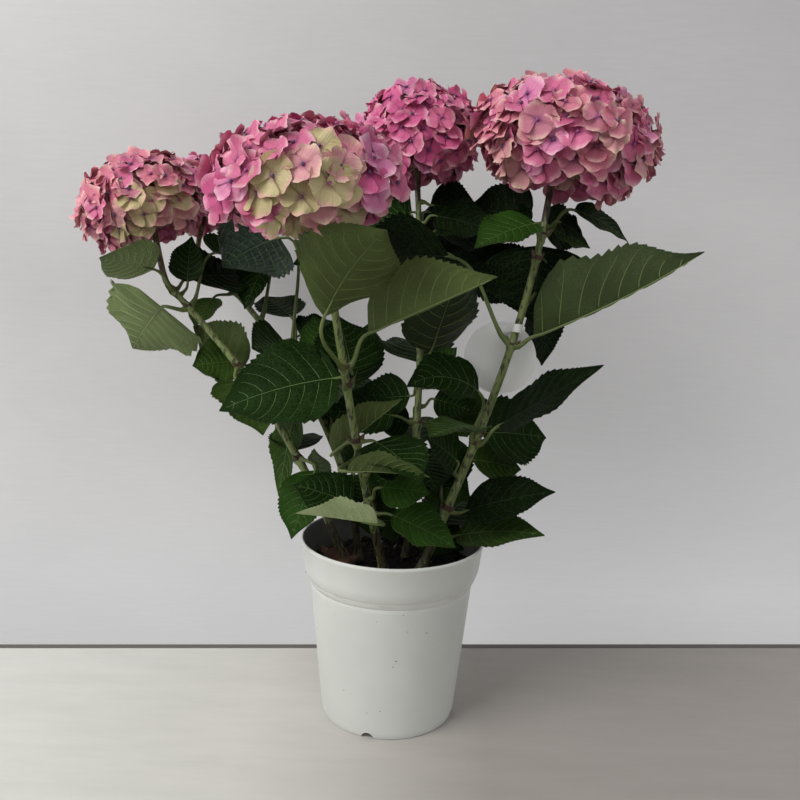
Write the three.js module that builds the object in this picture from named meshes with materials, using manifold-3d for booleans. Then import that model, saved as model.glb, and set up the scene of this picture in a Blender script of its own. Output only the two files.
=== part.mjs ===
// A potted mophead hydrangea in flower: pot, soil, five canes, leaf pairs, five flower heads
// and a blank hang tag.
// Millimetres, +Z up. The origin is the centre of the flat disc under the pot.
// -Y is the side that shows in the photograph.
import * as THREE from "three";
import { mergeVertices } from "three/addons/utils/BufferGeometryUtils.js";
import Module from "manifold-3d";

const wasm = await Module();
wasm.setup();

// Driving dimensions
const POT_TOP_R = 75; // a 150 mm pot
const POT_BASE_R = 55.7;
const POT_H = 150.5;
const COLLAR_H = 27; // the wide band under the rim
const WALL = 1.5;
const FLOOR_Z = 4; // underside of the raised drainage channel
const FLOOR_T = 2.5;
const DISC_R = 22; // flat disc in the middle of the underside
const FOOT_W = 5; // width of the foot ring
const SOIL_Z = 126;
const CLEAR = 0.3; // gap between neighbouring solids
const POT_SIDES = 32;
const CANE_SIDES = 6;
const LEAF_STEPS = 5;
const FINE = 24; // stations along a blade
const STALK_R = 1.5; // a leaf stalk at its foot and at the blade
const STALK_TIP_R = 1.1;
const CORE = 0.55; // share of a flower head that its core fills
const APART = 8; // leaves keep this far from one another

// name, foot x, y, azimuth and lean at the foot, tip x, y, z, azimuth and lean at the tip,
// radius at the foot and at the tip. Lean is measured from upright.
const CANES = [
  ["a", -38, -6, 180, 20, -190, 26, 348, 172, 46, 3.6, 2.5],
  ["b", -28, 6, 170, 4, -184, 104, 374, 150, 54, 3.4, 2.3],
  ["c", -6, -18, 215, 16, -53, -92, 400, 235, 14, 3.6, 2.5],
  ["d", 12, 16, 60, 8, 11, 75, 436, 140, 6, 3.4, 2.4],
  ["e", 24, -14, 5, 20, 113, 6, 430, 40, 9, 3.8, 2.6],
];

// name, cane, centre x, y, z, radius, height above and below the widest ring,
// azimuth and tilt of the axis, florets, floret size
const HEADS = [
  ["a", "a", -212, 30, 416, 54, 40, 38, 180, 22, 34, 27],
  ["b", "b", -186, 126, 428, 45, 38, 34, 110, 12, 28, 25],
  ["c", "c", -65, -95, 430, 66, 41, 38, 250, 12, 32, 34],
  ["d", "d", 10, 76, 480, 54, 46, 42, 120, 4, 32, 28],
  ["e", "e", 123, 5, 473, 74, 46, 42, 0, 10, 40, 34],
];

// A leaf pair: name, cane, height of the node, then its leaves. A leaf is
// [stalk, azimuth, lift, length, width, facing azimuth, rise, droop, roll, fold]: the stalk
// leaves its node at azimuth and lift, the blade sets out facing and rising, its rise falls by
// droop towards the tip, roll turns it about its midrib and fold lifts its two halves.
// The pairs that show are placed first, those of the far side after them.
const PAIRS = [
  ["c2", "c", 298,
    [52, -112, 59, 102, 94, -58, 34, 0, -8, 8],
    [32, -23, 54, 108, 74, -32, 24, 0, -40, 50],
  ],
  ["e2", "e", 312,
    [19, -23, 25, 138, 90, -24, 24, -12, -40, 50],
    [86, -165, 51, 80, 80, -150, 2, 15, -45, 8],
  ],
  ["d2", "d", 276,
    [26, -46, 62, 90, 72, -61, 60, 0, 0, 8],
    [22, 95, 30, 88, 70, 92, 20, 30, 0, 8],
  ],
  ["e1", "e", 233,
    [44, -87, 78, 62, 58, -168, 40, 75, -30, 8],
    [26, -27, 41, 96, 60, -27, 35, 0, 30, 8],
  ],
  ["c1", "c", 284,
    [15, -115, 32, 88, 78, -174, -6, 20, -42, 8],
    [16, 76, -4, 66, 40, 80, 40, 0, 0, 10],
  ],
  ["a2", "a", 331,
    [22, -149, 1, 96, 92, 124, -22, 10, 42, 8],
    [58, 70, 50, 62, 56, 64, 10, 20, 20, 10],
  ],
  ["cf", "c", 178,
    [36, -78, 14, 60, 46, -170, 6, 0, 35, 42],
    [18, -31, 5, 56, 58, -17, -18, 10, 15, 10],
  ],
  ["e3", "e", 398,
    [11, -138, 50, 62, 46, -148, -10, 20, -25, 12],
    [39, 34, 38, 54, 38, 12, -8, 25, 35, 8],
  ],
  ["b2", "b", 285,
    [105, -164, 85, 60, 80, -137, -15, 20, -45, 8],
    [47, 118, 70, 58, 48, 146, 37, 10, -10, 8],
  ],
  ["a3", "a", 344,
    [30, -112, 36, 50, 52, -124, 12, 5, 38, 10],
    [28, 83, 20, 66, 70, 57, 8, 15, 30, 10],
  ],
  ["a1", "a", 284,
    [30, 107, 8, 70, 74, 127, 17, 15, -10, 8],
    [20, -85, -23, 62, 60, -56, -24, 20, 0, 10],
  ],
  ["ef", "e", 178,
    [16, -27, 5, 76, 50, -22, 26, 12, 35, 8],
    [20, 120, 30, 60, 48, 90, 35, 25, 0, 8],
  ],
  ["eg", "e", 158,
    [16, -10, -5, 76, 44, -35, 22, 22, 25, 8],
    [16, 90, 10, 66, 54, 70, 14, 20, 10, 8],
  ],
  ["em", "e", 243,
    [22, 82, -15, 68, 68, 28, -3, 10, 50, 8],
    [24, -100, 20, 60, 50, -130, 10, 20, 0, 8],
  ],
  ["c0", "c", 240,
    [15, -14, 3, 58, 54, -50, -8, 20, 10, 8],
    [27, 143, -67, 74, 40, -20, 5, 0, -35, 45],
  ],
  ["a0", "a", 247,
    [25, -47, -8, 56, 40, -100, -62, 10, 0, 12],
    [20, 110, 10, 70, 52, 120, 20, 25, 0, 10],
  ],
  ["af", "a", 212,
    [20, -40, -15, 60, 46, -110, -44, 10, 0, 10],
    [18, 110, 10, 56, 48, 95, 15, 30, 0, 10],
  ],
  ["b1", "b", 250,
    [32, -85, 29, 63, 40, -74, -34, 30, 0, 12],
    [40, 40, -10, 60, 50, 80, 30, 20, 0, 10],
  ],
  ["b3", "b", 342,
    [20, -152, -16, 36, 34, -113, -37, 10, 0, 10],
    [25, 97, 30, 70, 60, 74, 10, 20, 0, 10],
  ],
  ["bm", "b", 264,
    [36, 172, 80, 53, 60, -131, 23, 10, -40, 8],
    [33, -55, 35, 59, 44, 102, 51, 10, 0, 10],
  ],
  ["e4", "e", 380,
    [40, 80, 15, 64, 94, -100, -80, 5, 0, 8],
    [38, 145, 5, 66, 52, -165, -66, 10, -40, 8],
  ],
  ["d3", "d", 372,
    [30, -150, 20, 84, 80, -170, 0, 20, -45, 8],
    [28, 0, 30, 80, 80, -20, -10, 20, 40, 8],
  ],
  ["d1", "d", 238,
    [22, -150, 20, 62, 52, -160, 10, 15, -40, 8],
    [22, 20, -10, 56, 52, 10, -5, 15, 45, 8],
  ],
  ["d0", "d", 208,
    [24, -84, 20, 56, 50, -75, -5, 20, 0, 8],
    [24, 96, 20, 80, 62, 90, 20, 30, 0, 8],
  ],
  ["dm", "d", 338,
    [26, 100, 40, 90, 74, 100, 10, 30, 0, 8],
    [24, -80, 30, 70, 60, -60, 20, 20, 10, 8],
  ],
];

const TAG_R = 29;
const TAG_T = 0.9;
const TAG_Z = 326; // where its loop holds cane e
const TAG_CENTRE = [82, 10, 300];

const COLOURS = {
  pot: 0xe6e5e1,
  soil: 0x2a211b,
  stem: 0x7d8a4a,
  leaf: 0x35561f,
  flower: 0xd07f9c,
  tag: 0xf0f0ec,
};

// Small helpers
const rad = (d) => (d * Math.PI) / 180;
const vec = (x, y, z) => new THREE.Vector3(x, y, z);
const heading = (az, lift) =>
  vec(
    Math.cos(rad(lift)) * Math.cos(rad(az)),
    Math.cos(rad(lift)) * Math.sin(rad(az)),
    Math.sin(rad(lift)),
  );
const along = (p, d, s) => p.clone().addScaledVector(d, s);
const mix = (a, b, t) => a + (b - a) * t;

// The same run of numbers for the same seed.
function dice(seed) {
  let s = seed >>> 0;
  return () => {
    s = (s * 1664525 + 1013904223) % 4294967296;
    return s / 4294967296;
  };
}

// A closed solid from points and triangles.
function solid(points, faces) {
  const positions = new Float32Array(points.length * 3);
  points.forEach((p, i) => positions.set([p.x, p.y, p.z], i * 3));
  const made = new wasm.Manifold(
    new wasm.Mesh({ numProp: 3, vertProperties: positions, triVerts: new Uint32Array(faces.flat()) }),
  );
  return made;
}

function join(parts) {
  return parts.reduce((a, b) => a.add(b));
}

// Rings of points skinned into a closed tube. A ring of one point closes an end.
function skin(rings) {
  const points = [];
  const starts = [];
  for (const ring of rings) {
    starts.push(points.length);
    points.push(...ring);
  }
  const faces = [];
  for (let k = 0; k + 1 < rings.length; k++) {
    const m = Math.max(rings[k].length, rings[k + 1].length);
    const at = (j, i) => starts[j] + (rings[j].length === 1 ? 0 : i % rings[j].length);
    for (let i = 0; i < m; i++) {
      if (rings[k].length > 1) faces.push([at(k, i), at(k, i + 1), at(k + 1, i + 1)]);
      if (rings[k + 1].length > 1) faces.push([at(k, i), at(k + 1, i + 1), at(k + 1, i)]);
    }
  }
  for (const [j, turned] of [[0, true], [rings.length - 1, false]]) {
    for (let i = 1; i + 1 < rings[j].length; i++) {
      const f = [starts[j], starts[j] + i, starts[j] + i + 1];
      faces.push(turned ? f.reverse() : f);
    }
  }
  return solid(points, faces);
}

// A ring of points round a centre, square to a direction.
function ringAt(centre, direction, radius, sides, turn = 0) {
  const d = direction.clone().normalize();
  const u = Math.abs(d.z) > 0.95 ? vec(1, 0, 0) : vec(0, 0, 1);
  const e1 = u.clone().sub(d.clone().multiplyScalar(u.dot(d))).normalize();
  const e2 = d.clone().cross(e1);
  const ring = [];
  for (let i = 0; i < sides; i++) {
    const a = turn + (2 * Math.PI * i) / sides;
    ring.push(along(along(centre, e1, radius * Math.cos(a)), e2, radius * Math.sin(a)));
  }
  return ring;
}

// A tapered tube through points, its rings carried along without twist.
function limb(points, radii, sides, firstDirection) {
  const rings = [];
  let e1 = null;
  points.forEach((p, i) => {
    const d =
      i === 0 && firstDirection
        ? firstDirection.clone()
        : points[Math.min(i + 1, points.length - 1)].clone().sub(points[Math.max(i - 1, 0)]);
    d.normalize();
    if (!e1) e1 = Math.abs(d.x) > 0.9 ? vec(0, 1, 0) : vec(1, 0, 0);
    e1 = e1.clone().sub(d.clone().multiplyScalar(e1.dot(d))).normalize();
    const e2 = d.clone().cross(e1);
    const ring = [];
    for (let k = 0; k < sides; k++) {
      const a = (2 * Math.PI * k) / sides;
      ring.push(along(along(p, e1, radii[i] * Math.cos(a)), e2, radii[i] * Math.sin(a)));
    }
    rings.push(ring);
  });
  return skin(rings);
}

// A profile of [radius, height] turned about the upright axis at the origin.
function turned(profile, sides) {
  const rings = profile.map(([r, z]) => {
    if (r === 0) return [vec(0, 0, z)];
    const ring = [];
    for (let i = 0; i < sides; i++) {
      const a = (2 * Math.PI * i) / sides;
      ring.push(vec(r * Math.cos(a), r * Math.sin(a), z));
    }
    return ring;
  });
  return skin(rings);
}

function fromGeometry(g) {
  g.deleteAttribute("normal");
  g.deleteAttribute("uv");
  const m = mergeVertices(g, 1e-4);
  return new wasm.Manifold(
    new wasm.Mesh({
      numProp: 3,
      vertProperties: new Float32Array(m.attributes.position.array),
      triVerts: new Uint32Array(m.index.array),
    }),
  );
}

// Pot
const outerAt = (z) =>
  z < POT_H - COLLAR_H - 6
    ? mix(POT_BASE_R, 67.2, z / (POT_H - COLLAR_H - 6))
    : mix(72, POT_TOP_R, (z - (POT_H - COLLAR_H)) / COLLAR_H);

function pot() {
  const step = POT_H - COLLAR_H;
  const top = FLOOR_Z + FLOOR_T;
  const body = turned(
    [
      [0, 0],
      [DISC_R, 0],
      [DISC_R + 2, FLOOR_Z],
      [POT_BASE_R - FOOT_W - 1, FLOOR_Z],
      [POT_BASE_R - FOOT_W, 0],
      [POT_BASE_R - 0.6, 0],
      [outerAt(step - 7), step - 7],
      [71.2, step - 2.4],
      [72, step],
      [outerAt(POT_H - 3), POT_H - 3],
      [POT_TOP_R + 0.3, POT_H - 1.6],
      [POT_TOP_R - 0.2, POT_H],
      [POT_TOP_R - 1.4, POT_H],
      [POT_TOP_R - 2.2, POT_H - 2.5],
      [72 - WALL, step + 1],
      [67.2 - WALL, step - 6],
      [outerAt(top) - WALL, top],
      [DISC_R + 2, top],
      [DISC_R - 1, FLOOR_T],
      [0, FLOOR_T],
    ],
    POT_SIDES,
  );
  let made = body;
  // round drain holes in the raised channel, and half-round notches through the foot ring
  for (let i = 0; i < 6; i++) {
    const a = rad(30 + 60 * i);
    const hole = new THREE.CylinderGeometry(3.5, 3.5, 12, 10).rotateX(Math.PI / 2);
    hole.translate(36 * Math.cos(a), 36 * Math.sin(a), 6);
    made = made.subtract(fromGeometry(hole));
  }
  for (let i = 0; i < 4; i++) {
    const a = rad(250 + 90 * i);
    const notch = new THREE.CylinderGeometry(4.6, 4.6, 14, 12).rotateZ(Math.PI / 2);
    notch.rotateZ(a).translate(POT_BASE_R * Math.cos(a), POT_BASE_R * Math.sin(a), -0.6);
    made = made.subtract(fromGeometry(notch));
  }
  return made;
}

// Soil fills the pot to SOIL_Z, flat where the canes stand and uneven at its edge.
function soil() {
  const top = FLOOR_Z + FLOOR_T + CLEAR;
  const step = POT_H - COLLAR_H;
  const gap = WALL + CLEAR + 0.25;
  const random = dice(11);
  const rings = [
    [0, FLOOR_T + CLEAR],
    [DISC_R - 1.6, FLOOR_T + CLEAR],
    [DISC_R + 1.4, top],
    [outerAt(top) - gap, top],
    [67.2 - gap - 0.1, step - 6.2],
    [68.3, SOIL_Z - 3.2],
    [56, SOIL_Z],
    [0, SOIL_Z],
  ].map(([r, z], k) => {
    if (r === 0) return [vec(0, 0, z)];
    const ring = [];
    for (let i = 0; i < 24; i++) {
      const a = (2 * Math.PI * i) / 24;
      const lump = k === 5 ? 2.4 * random() - 0.4 : 0;
      const inner = k === 6 ? r + 4 * random() : r;
      ring.push(vec(inner * Math.cos(a), inner * Math.sin(a), z + lump));
    }
    return ring;
  });
  return skin(rings);
}

// Canes
const canes = new Map();
for (const [name, fx, fy, az0, lean0, tx, ty, tz, az1, lean1, r0, r1] of CANES) {
  const foot = vec(fx, fy, SOIL_Z + CLEAR);
  const tip = vec(tx, ty, tz);
  const reach = 0.36 * foot.distanceTo(tip);
  const curve = new THREE.CubicBezierCurve3(
    foot,
    along(foot, heading(az0, 90 - lean0), reach),
    along(tip, heading(az1, 90 - lean1), -reach),
    tip,
  );
  canes.set(name, { curve, radius: (t) => mix(r0, r1, t) });
}

// The curve parameter at which a cane passes a height.
function paramAt(cane, z) {
  let low = 0;
  let high = 1;
  for (let i = 0; i < 40; i++) {
    const mid = (low + high) / 2;
    if (cane.curve.getPoint(mid).z < z) low = mid;
    else high = mid;
  }
  return (low + high) / 2;
}

function caneSolid(cane) {
  const points = [];
  const radii = [];
  const stops = [0, 0.015, 0.04, 0.1];
  for (let i = 2; i <= 10; i++) stops.push(i / 10);
  for (const t of stops) {
    points.push(cane.curve.getPoint(t));
    const flare = 1 + 0.55 * Math.max(0, 1 - t / 0.04);
    radii.push(cane.radius(t) * flare);
  }
  return limb(points, radii, CANE_SIDES, vec(0, 0, 1));
}

// Flower heads
function headFrame(row) {
  const [, cane, x, y, z, r, up, down, az, tilt, count, size] = row;
  const axis = heading(az, 90 - tilt);
  const e1 = vec(0, 1, 0).cross(axis).normalize();
  const e2 = axis.clone().cross(e1);
  return { cane: canes.get(cane), centre: vec(x, y, z), axis, e1, e2, r, up, down, count, size };
}

// A point of the dome at angle theta from its axis, at a share of its size.
function onDome(f, theta, phi, share) {
  const c = Math.cos(theta);
  const s = Math.sin(theta) * f.r * share;
  const p = along(f.centre, f.axis, (c > 0 ? f.up : f.down) * c * share);
  return along(along(p, f.e1, s * Math.cos(phi)), f.e2, s * Math.sin(phi));
}

// A floret: four broad sepals, shallow and facing along n, on a stalk that starts at root.
function floret(centre, n, size, turn, root) {
  const neck = ringAt(along(centre, n, -1.8), n, 1.1, 4, turn);
  const rim = ringAt(along(centre, n, 0.04 * size), n, size / 2, 4, turn);
  return skin([[root], neck, rim, [along(centre, n, 0.6)]]);
}

function head(row, seed) {
  const f = headFrame(row);
  const { count, size } = f;
  const random = dice(seed);
  // a core that stands for the inner branches
  const core = [[onDome(f, 0, 0, CORE)]];
  for (const theta of [0.7, 1.4, 2.1]) {
    const ring = [];
    for (let i = 0; i < 9; i++) ring.push(onDome(f, theta, (2 * Math.PI * i) / 9, CORE));
    core.push(ring);
  }
  core.push([onDome(f, Math.PI, 0, CORE)]);
  const parts = [skin(core.reverse())];
  // the stalk carries on from the cane's tip into the core
  const tip = f.cane.curve.getPoint(1);
  const way = f.cane.curve.getTangent(1);
  const r = f.cane.radius(1);
  const start = along(tip, way, CLEAR + 0.05);
  const fork = along(f.centre, f.axis, -0.25 * f.down);
  parts.push(limb([start, along(start, way, 6), fork], [r, r, r * 0.9], 6, way));
  for (let i = 0; i < count; i++) {
    const theta = Math.acos(1 - (1 - Math.cos(1.95)) * ((i + 0.5) / count));
    const phi = i * 2.39996 + 0.3 * random();
    const p = onDome(f, theta, phi, 0.89 + 0.1 * random());
    const n = p.clone().sub(along(f.centre, f.axis, -0.35 * f.r)).normalize();
    const root = p.clone().lerp(fork, 0.8);
    parts.push(floret(p, n, size * (0.95 + 0.2 * random()), random() * 3, root));
  }
  return join(parts);
}

// Leaves
// Share of the half width at u along the blade: a broad ovate leaf with a drawn-out tip.
function widthAt(u) {
  if (u <= 0 || u >= 1) return 0;
  return Math.pow(Math.sin(Math.PI * Math.pow(u, 0.72)), 0.8) * (1 - 0.1 * u);
}

// A leaf's stalk path and the frame of each station along its blade.
function leafFrame(cane, z, spec) {
  const [stalk, az, lift, length, width, facing, rise, droop, roll, fold] = spec;
  const t = paramAt(cane, z);
  const node = cane.curve.getPoint(t);
  const up = cane.curve.getTangent(t);
  const out = heading(az, lift);
  const away = out.clone().addScaledVector(up, -out.dot(up)).normalize();
  const start = along(node, away, cane.radius(t) + 1.8);
  const base = along(node, out, stalk);
  const curve = new THREE.CubicBezierCurve3(
    start,
    along(start, out, 0.35 * stalk),
    along(base, heading(facing, rise), -0.35 * stalk),
    base,
  );
  const side = vec(-Math.sin(rad(facing)), Math.cos(rad(facing)), 0);
  const stations = [];
  let centre = base.clone();
  for (let i = 0; i <= FINE; i++) {
    const u = i / FINE;
    const d = heading(facing, rise - droop * u);
    const n = d.clone().cross(side);
    const across = along(side.clone().multiplyScalar(Math.cos(rad(roll))), n, Math.sin(rad(roll)));
    const over = along(n.clone().multiplyScalar(Math.cos(rad(roll))), side, -Math.sin(rad(roll)));
    stations.push({ u, centre: centre.clone(), across, over, half: (width / 2) * widthAt(u) });
    centre = along(centre, d, length / FINE);
  }
  return { curve, stations, fold: rad(fold), length };
}

// A point of the blade at station i, v from -1 to 1 across.
function onBlade(leaf, i, v) {
  const s = leaf.stations[i];
  const p = along(s.centre, s.across, s.half * v * Math.cos(leaf.fold));
  return along(p, s.over, s.half * Math.abs(v) * Math.sin(leaf.fold));
}

// Points that stand for a leaf when it is tested against the others.
function samplesOf(leaf) {
  const list = [];
  for (let i = 2; i <= FINE; i += 2.75) {
    for (let j = -3; j <= 3; j++) list.push(onBlade(leaf, Math.round(i), j / 3.2));
  }
  const steps = Math.ceil(leaf.curve.getLength() / 6);
  for (let k = 1; k <= steps; k++) {
    if (k * 6 > 9) list.push(leaf.curve.getPoint(k / steps));
  }
  return list;
}

const crowd = [];
for (const cane of canes.values()) {
  for (let i = 0; i <= 60; i++) crowd.push(cane.curve.getPoint(i / 60));
}
const domes = HEADS.map(headFrame);

function isFree(samples) {
  for (const p of samples) {
    const fromAxis = Math.hypot(p.x, p.y);
    if (fromAxis < POT_TOP_R + 4 && p.z < SOIL_Z + 4) return false;
    if (Math.abs(fromAxis - POT_TOP_R) < 7 && p.z < POT_H + 5) return false;
    for (const q of crowd) if (p.distanceToSquared(q) < APART * APART) return false;
    for (const f of domes) {
      const d = p.clone().sub(f.centre);
      const a = d.dot(f.axis) / ((d.dot(f.axis) > 0 ? f.up : f.down) + 7);
      const b = Math.sqrt(Math.max(0, d.lengthSq() - d.dot(f.axis) ** 2)) / (f.r + 7);
      if (a * a + b * b < 1) return false;
    }
  }
  return true;
}

// Swings a leaf step by step, in azimuth and lift, until it is free of all that stands.
function settle(cane, z, spec) {
  const swings = [[0, 0]];
  for (let k = 1; k <= 6; k++) {
    for (const [a, l] of [[1, 0], [-1, 0], [0, 1], [0, -1], [1, 1], [-1, 1], [1, -1], [-1, -1]]) {
      swings.push([7 * k * a, 6 * k * l]);
    }
  }
  for (const [a, l] of swings) {
    const moved = spec.slice();
    moved[1] += a;
    moved[2] += l;
    moved[5] += a;
    moved[6] += l;
    const leaf = leafFrame(cane, z, moved);
    const samples = samplesOf(leaf);
    if (isFree(samples)) {
      crowd.push(...samples);
      return leaf;
    }
  }
  return null;
}

// A leaf as one skin of six-sided rings, from the foot of its stalk to its tip.
function leafSolid(leaf) {
  const thick = leaf.length / 90;
  const rings = [];
  let across = leaf.stations[0].across;
  for (let i = 3; i >= 0; i--) {
    const p = leaf.curve.getPoint(i / 3);
    const d = leaf.curve.getTangent(i / 3);
    across = across.clone().addScaledVector(d, -across.dot(d)).normalize();
    const over = d.clone().cross(across);
    const r = mix(STALK_R, STALK_TIP_R, i / 3);
    const ring = [210, 270, 330, 30, 90, 150].map((a) =>
      along(along(p, across, r * Math.cos(rad(a))), over, r * Math.sin(rad(a))),
    );
    rings.unshift(ring);
  }
  for (let i = 0; i <= LEAF_STEPS; i++) {
    const k = Math.max(1, Math.round((FINE * i) / LEAF_STEPS));
    const s = leaf.stations[k];
    const half = Math.max(s.half, 0.8);
    const [a, b, c] = [-1, 0, 1].map((v) => {
      const p = along(s.centre, s.across, half * v * Math.cos(leaf.fold));
      return along(p, s.over, half * Math.abs(v) * Math.sin(leaf.fold));
    });
    const [up, down] = [thick / 2, -thick / 2];
    rings.push([
      along(a, s.over, down),
      along(b, s.over, down),
      along(c, s.over, down),
      along(c, s.over, up),
      along(b, s.over, up),
      along(a, s.over, up),
    ]);
  }
  return skin(rings);
}

// The ring of a node, clear of its cane, that carries a pair of leaves.
function nodeRing(cane, z) {
  const t = paramAt(cane, z);
  const centre = cane.curve.getPoint(t);
  const way = cane.curve.getTangent(t);
  const inner = (cane.radius(t) + CLEAR + 0.1) / Math.cos(Math.PI / 8);
  const bore = [[inner, -3.2], [inner + 2, 0], [inner, 3.2]];
  const rings = bore.map(([r, h]) => ringAt(along(centre, way, h), way, r, 8));
  const points = rings.flat();
  const faces = [];
  for (let k = 0; k < 3; k++) {
    for (let i = 0; i < 8; i++) {
      const a = k * 8 + i;
      const b = k * 8 + ((i + 1) % 8);
      const c = ((k + 1) % 3) * 8 + ((i + 1) % 8);
      const d = ((k + 1) % 3) * 8 + i;
      faces.push([a, b, c], [a, c, d]);
    }
  }
  return solid(points, faces);
}

// Tag
// A blank round tag on a strip that loops round cane e.
function tag() {
  const cane = canes.get("e");
  const t = paramAt(cane, TAG_Z);
  const centre = cane.curve.getPoint(t);
  const way = cane.curve.getTangent(t);
  const inner = (cane.radius(t) + CLEAR + 0.2) / Math.cos(Math.PI / 10);
  const ring = (r, h) => ringAt(along(centre, way, h), way, r, 10);
  const outer = inner + TAG_T;
  const rings = [ring(inner, -3.5), ring(outer, -3.5), ring(outer, 3.5), ring(inner, 3.5)];
  const faces = [];
  for (let k = 0; k < 4; k++) {
    for (let i = 0; i < 10; i++) {
      const a = k * 10 + i;
      const b = k * 10 + ((i + 1) % 10);
      const c = ((k + 1) % 4) * 10 + ((i + 1) % 10);
      faces.push([a, b, c], [a, c, ((k + 1) % 4) * 10 + i]);
    }
  }
  const loop = solid(rings.flat(), faces);
  const [x, y, z] = TAG_CENTRE;
  const disc = new THREE.CylinderGeometry(TAG_R, TAG_R, TAG_T, 28);
  disc.rotateX(rad(-4)).translate(x, y, z);
  // the strip runs from inside the disc to the far side of the loop
  const bar = (p, w) => {
    const h = TAG_T / 2;
    return [[-w, -h], [w, -h], [w, h], [-w, h]].map(([i, j]) => vec(p.x + i, p.y + j, p.z));
  };
  const back = vec(centre.x, centre.y + inner + 0.3, centre.z + 1);
  const low = vec(x + 5, y + 1.4, z + TAG_R - 6);
  const strip = skin([bar(low, 4), bar(vec(centre.x - 3, y + 1.2, z + TAG_R - 1), 3), bar(back, 2.6)]);
  return join([loop, strip, fromGeometry(disc)]);
}

// Assembly
const materials = {};
for (const [name, colour] of Object.entries(COLOURS)) {
  materials[name] = new THREE.MeshStandardMaterial({
    name,
    color: colour,
    roughness: name === "pot" || name === "tag" ? 0.45 : 0.8,
    metalness: 0,
  });
}

const group = new THREE.Group();
group.name = "potted_hydrangea";

function place(name, made, slot) {
  const mesh = made.getMesh();
  const points = new Float32Array(mesh.numVert * 3);
  for (let i = 0; i < mesh.numVert; i++) {
    points.set(mesh.vertProperties.subarray(i * mesh.numProp, i * mesh.numProp + 3), i * 3);
  }
  const geometry = new THREE.BufferGeometry();
  geometry.setAttribute("position", new THREE.BufferAttribute(points, 3));
  geometry.setIndex(new THREE.BufferAttribute(new Uint32Array(mesh.triVerts), 1));
  geometry.computeVertexNormals();
  const node = new THREE.Mesh(geometry, materials[slot].clone());
  node.name = name;
  group.add(node);
}

place("pot", pot(), "pot");
place("soil", soil(), "soil");
for (const [name, cane] of canes) place("cane_" + name, caneSolid(cane), "stem");
HEADS.forEach((row, i) => place("flower_head_" + row[0], head(row, 101 + i), "flower"));
for (const [name, caneName, z, ...specs] of PAIRS) {
  const cane = canes.get(caneName);
  const parts = [nodeRing(cane, z)];
  for (const spec of specs) {
    const leaf = settle(cane, z, spec);
    if (leaf) parts.push(leafSolid(leaf));
  }
  place("leaves_" + name, join(parts), "leaf");
}
place("tag", tag(), "tag");

export default group;
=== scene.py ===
"""A potted mophead hydrangea: white nursery pot, canes, toothed leaves, five flower heads.

The plant grows here by the same rule as in the part's source, in millimetres, and every mesh is
made in metres. -Y is the side that faces the camera.
"""
import math

import bpy
import numpy as np
from mathutils import Matrix, Vector


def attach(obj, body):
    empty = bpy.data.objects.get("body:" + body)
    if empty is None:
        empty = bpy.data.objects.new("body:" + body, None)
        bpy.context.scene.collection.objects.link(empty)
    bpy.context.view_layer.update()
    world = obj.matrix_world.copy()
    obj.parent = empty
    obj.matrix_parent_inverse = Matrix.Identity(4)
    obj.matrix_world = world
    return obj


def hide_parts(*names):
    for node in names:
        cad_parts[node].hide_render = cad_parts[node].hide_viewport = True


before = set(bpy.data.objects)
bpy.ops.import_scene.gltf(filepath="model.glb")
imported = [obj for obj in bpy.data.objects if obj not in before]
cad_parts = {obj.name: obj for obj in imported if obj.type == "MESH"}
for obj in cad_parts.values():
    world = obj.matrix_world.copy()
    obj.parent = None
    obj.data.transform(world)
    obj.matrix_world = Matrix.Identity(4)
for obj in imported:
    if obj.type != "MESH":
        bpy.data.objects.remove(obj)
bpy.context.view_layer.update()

MM = 0.001

# Pot and soil
POT_TOP_R = 75
POT_BASE_R = 55.7
POT_H = 150.5
COLLAR_H = 27
COLLAR_R = 72
STEP_Z = POT_H - COLLAR_H
NECK_R = 67.2
NECK_Z = STEP_Z - 6
WALL = 1.5
FLOOR_Z = 4
FLOOR_T = 2.5
DISC_R = 22
FOOT_W = 5
HOLES = 6
HOLE_R = 3.5
HOLES_AT_R = 36
NOTCHES = 4
NOTCH_R = 5.4
FIRST_NOTCH = 255
SOIL_Z = 126
SOIL_FOOT_Z = 3
SOIL_CHIPS = 900
LOOSE_SPECKS = 34
CLEAR = 0.3

# Leaves and flower heads. The gaps are to other samples and to a head's widest shape, and the
# second of each pair is for the finer shoots.
LEAF_GAPS = (8, 3)
HEAD_GAPS = (7, 2)
FINE = 24
STALK_R = 1.7
STALK_TIP_R = 1.2
STALK_SAMPLE = 6
STALK_FREE_FROM = 9
STATION_STEP = 2.75
SAMPLES_TO_EDGE = 3.2
TURN_STEP = 7
LIFT_STEP = 6
SOIL_GAP = 4
RIM_GAPS = (7, 5)
LEAF_THICK = 0.45
TOOTH_ALONG = 0.012
TOOTH_OUT = 0.045
TOOTH_BACK = -0.8
TIP_SLIMMER = 0.42
EDGE_WAVES = 4.4
BLADE_ROWS = 44
BLADE_COLUMNS = (0, 0.05, 0.16, 0.3, 0.45, 0.6, 0.75, 0.88, 1)
VEIN_PAIRS = 7
VEIN_LEAN = 0.27
VEIN_SPAN = 0.82
VEIN_START = 0.05
VEIN_SINK = 0.2
CANE_SIDES = 16
CANE_STATIONS = 90
NODE_BULGE = 1.5
NODE_SPREAD = 3.2
NODE_RING = 1.3
OLD_WOOD = 34
GOLDEN = 2.39996
LOWEST_FLORET = 2.5
INNER_SHARE = 0.6
FACING_JITTER = 0.7
CREAM_SHARE = 0.42
SEPAL_THICK = 0.4
HEAD_CROWN = 0.87
HEAD_HANG = {"d": 1.12, "e": 1.12}

# Stage, in metres
FLOOR_BACK = 0.107
STAGE_HALF = 0.4

# Camera, in metres and radians
CAMERA_AT = (0.0072, -0.6567, 0.3811)
CAMERA_TURN = (-0.0072, 0.1759, 0.0331)
FOCAL_SHARE = 830.3 / 800

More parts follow.
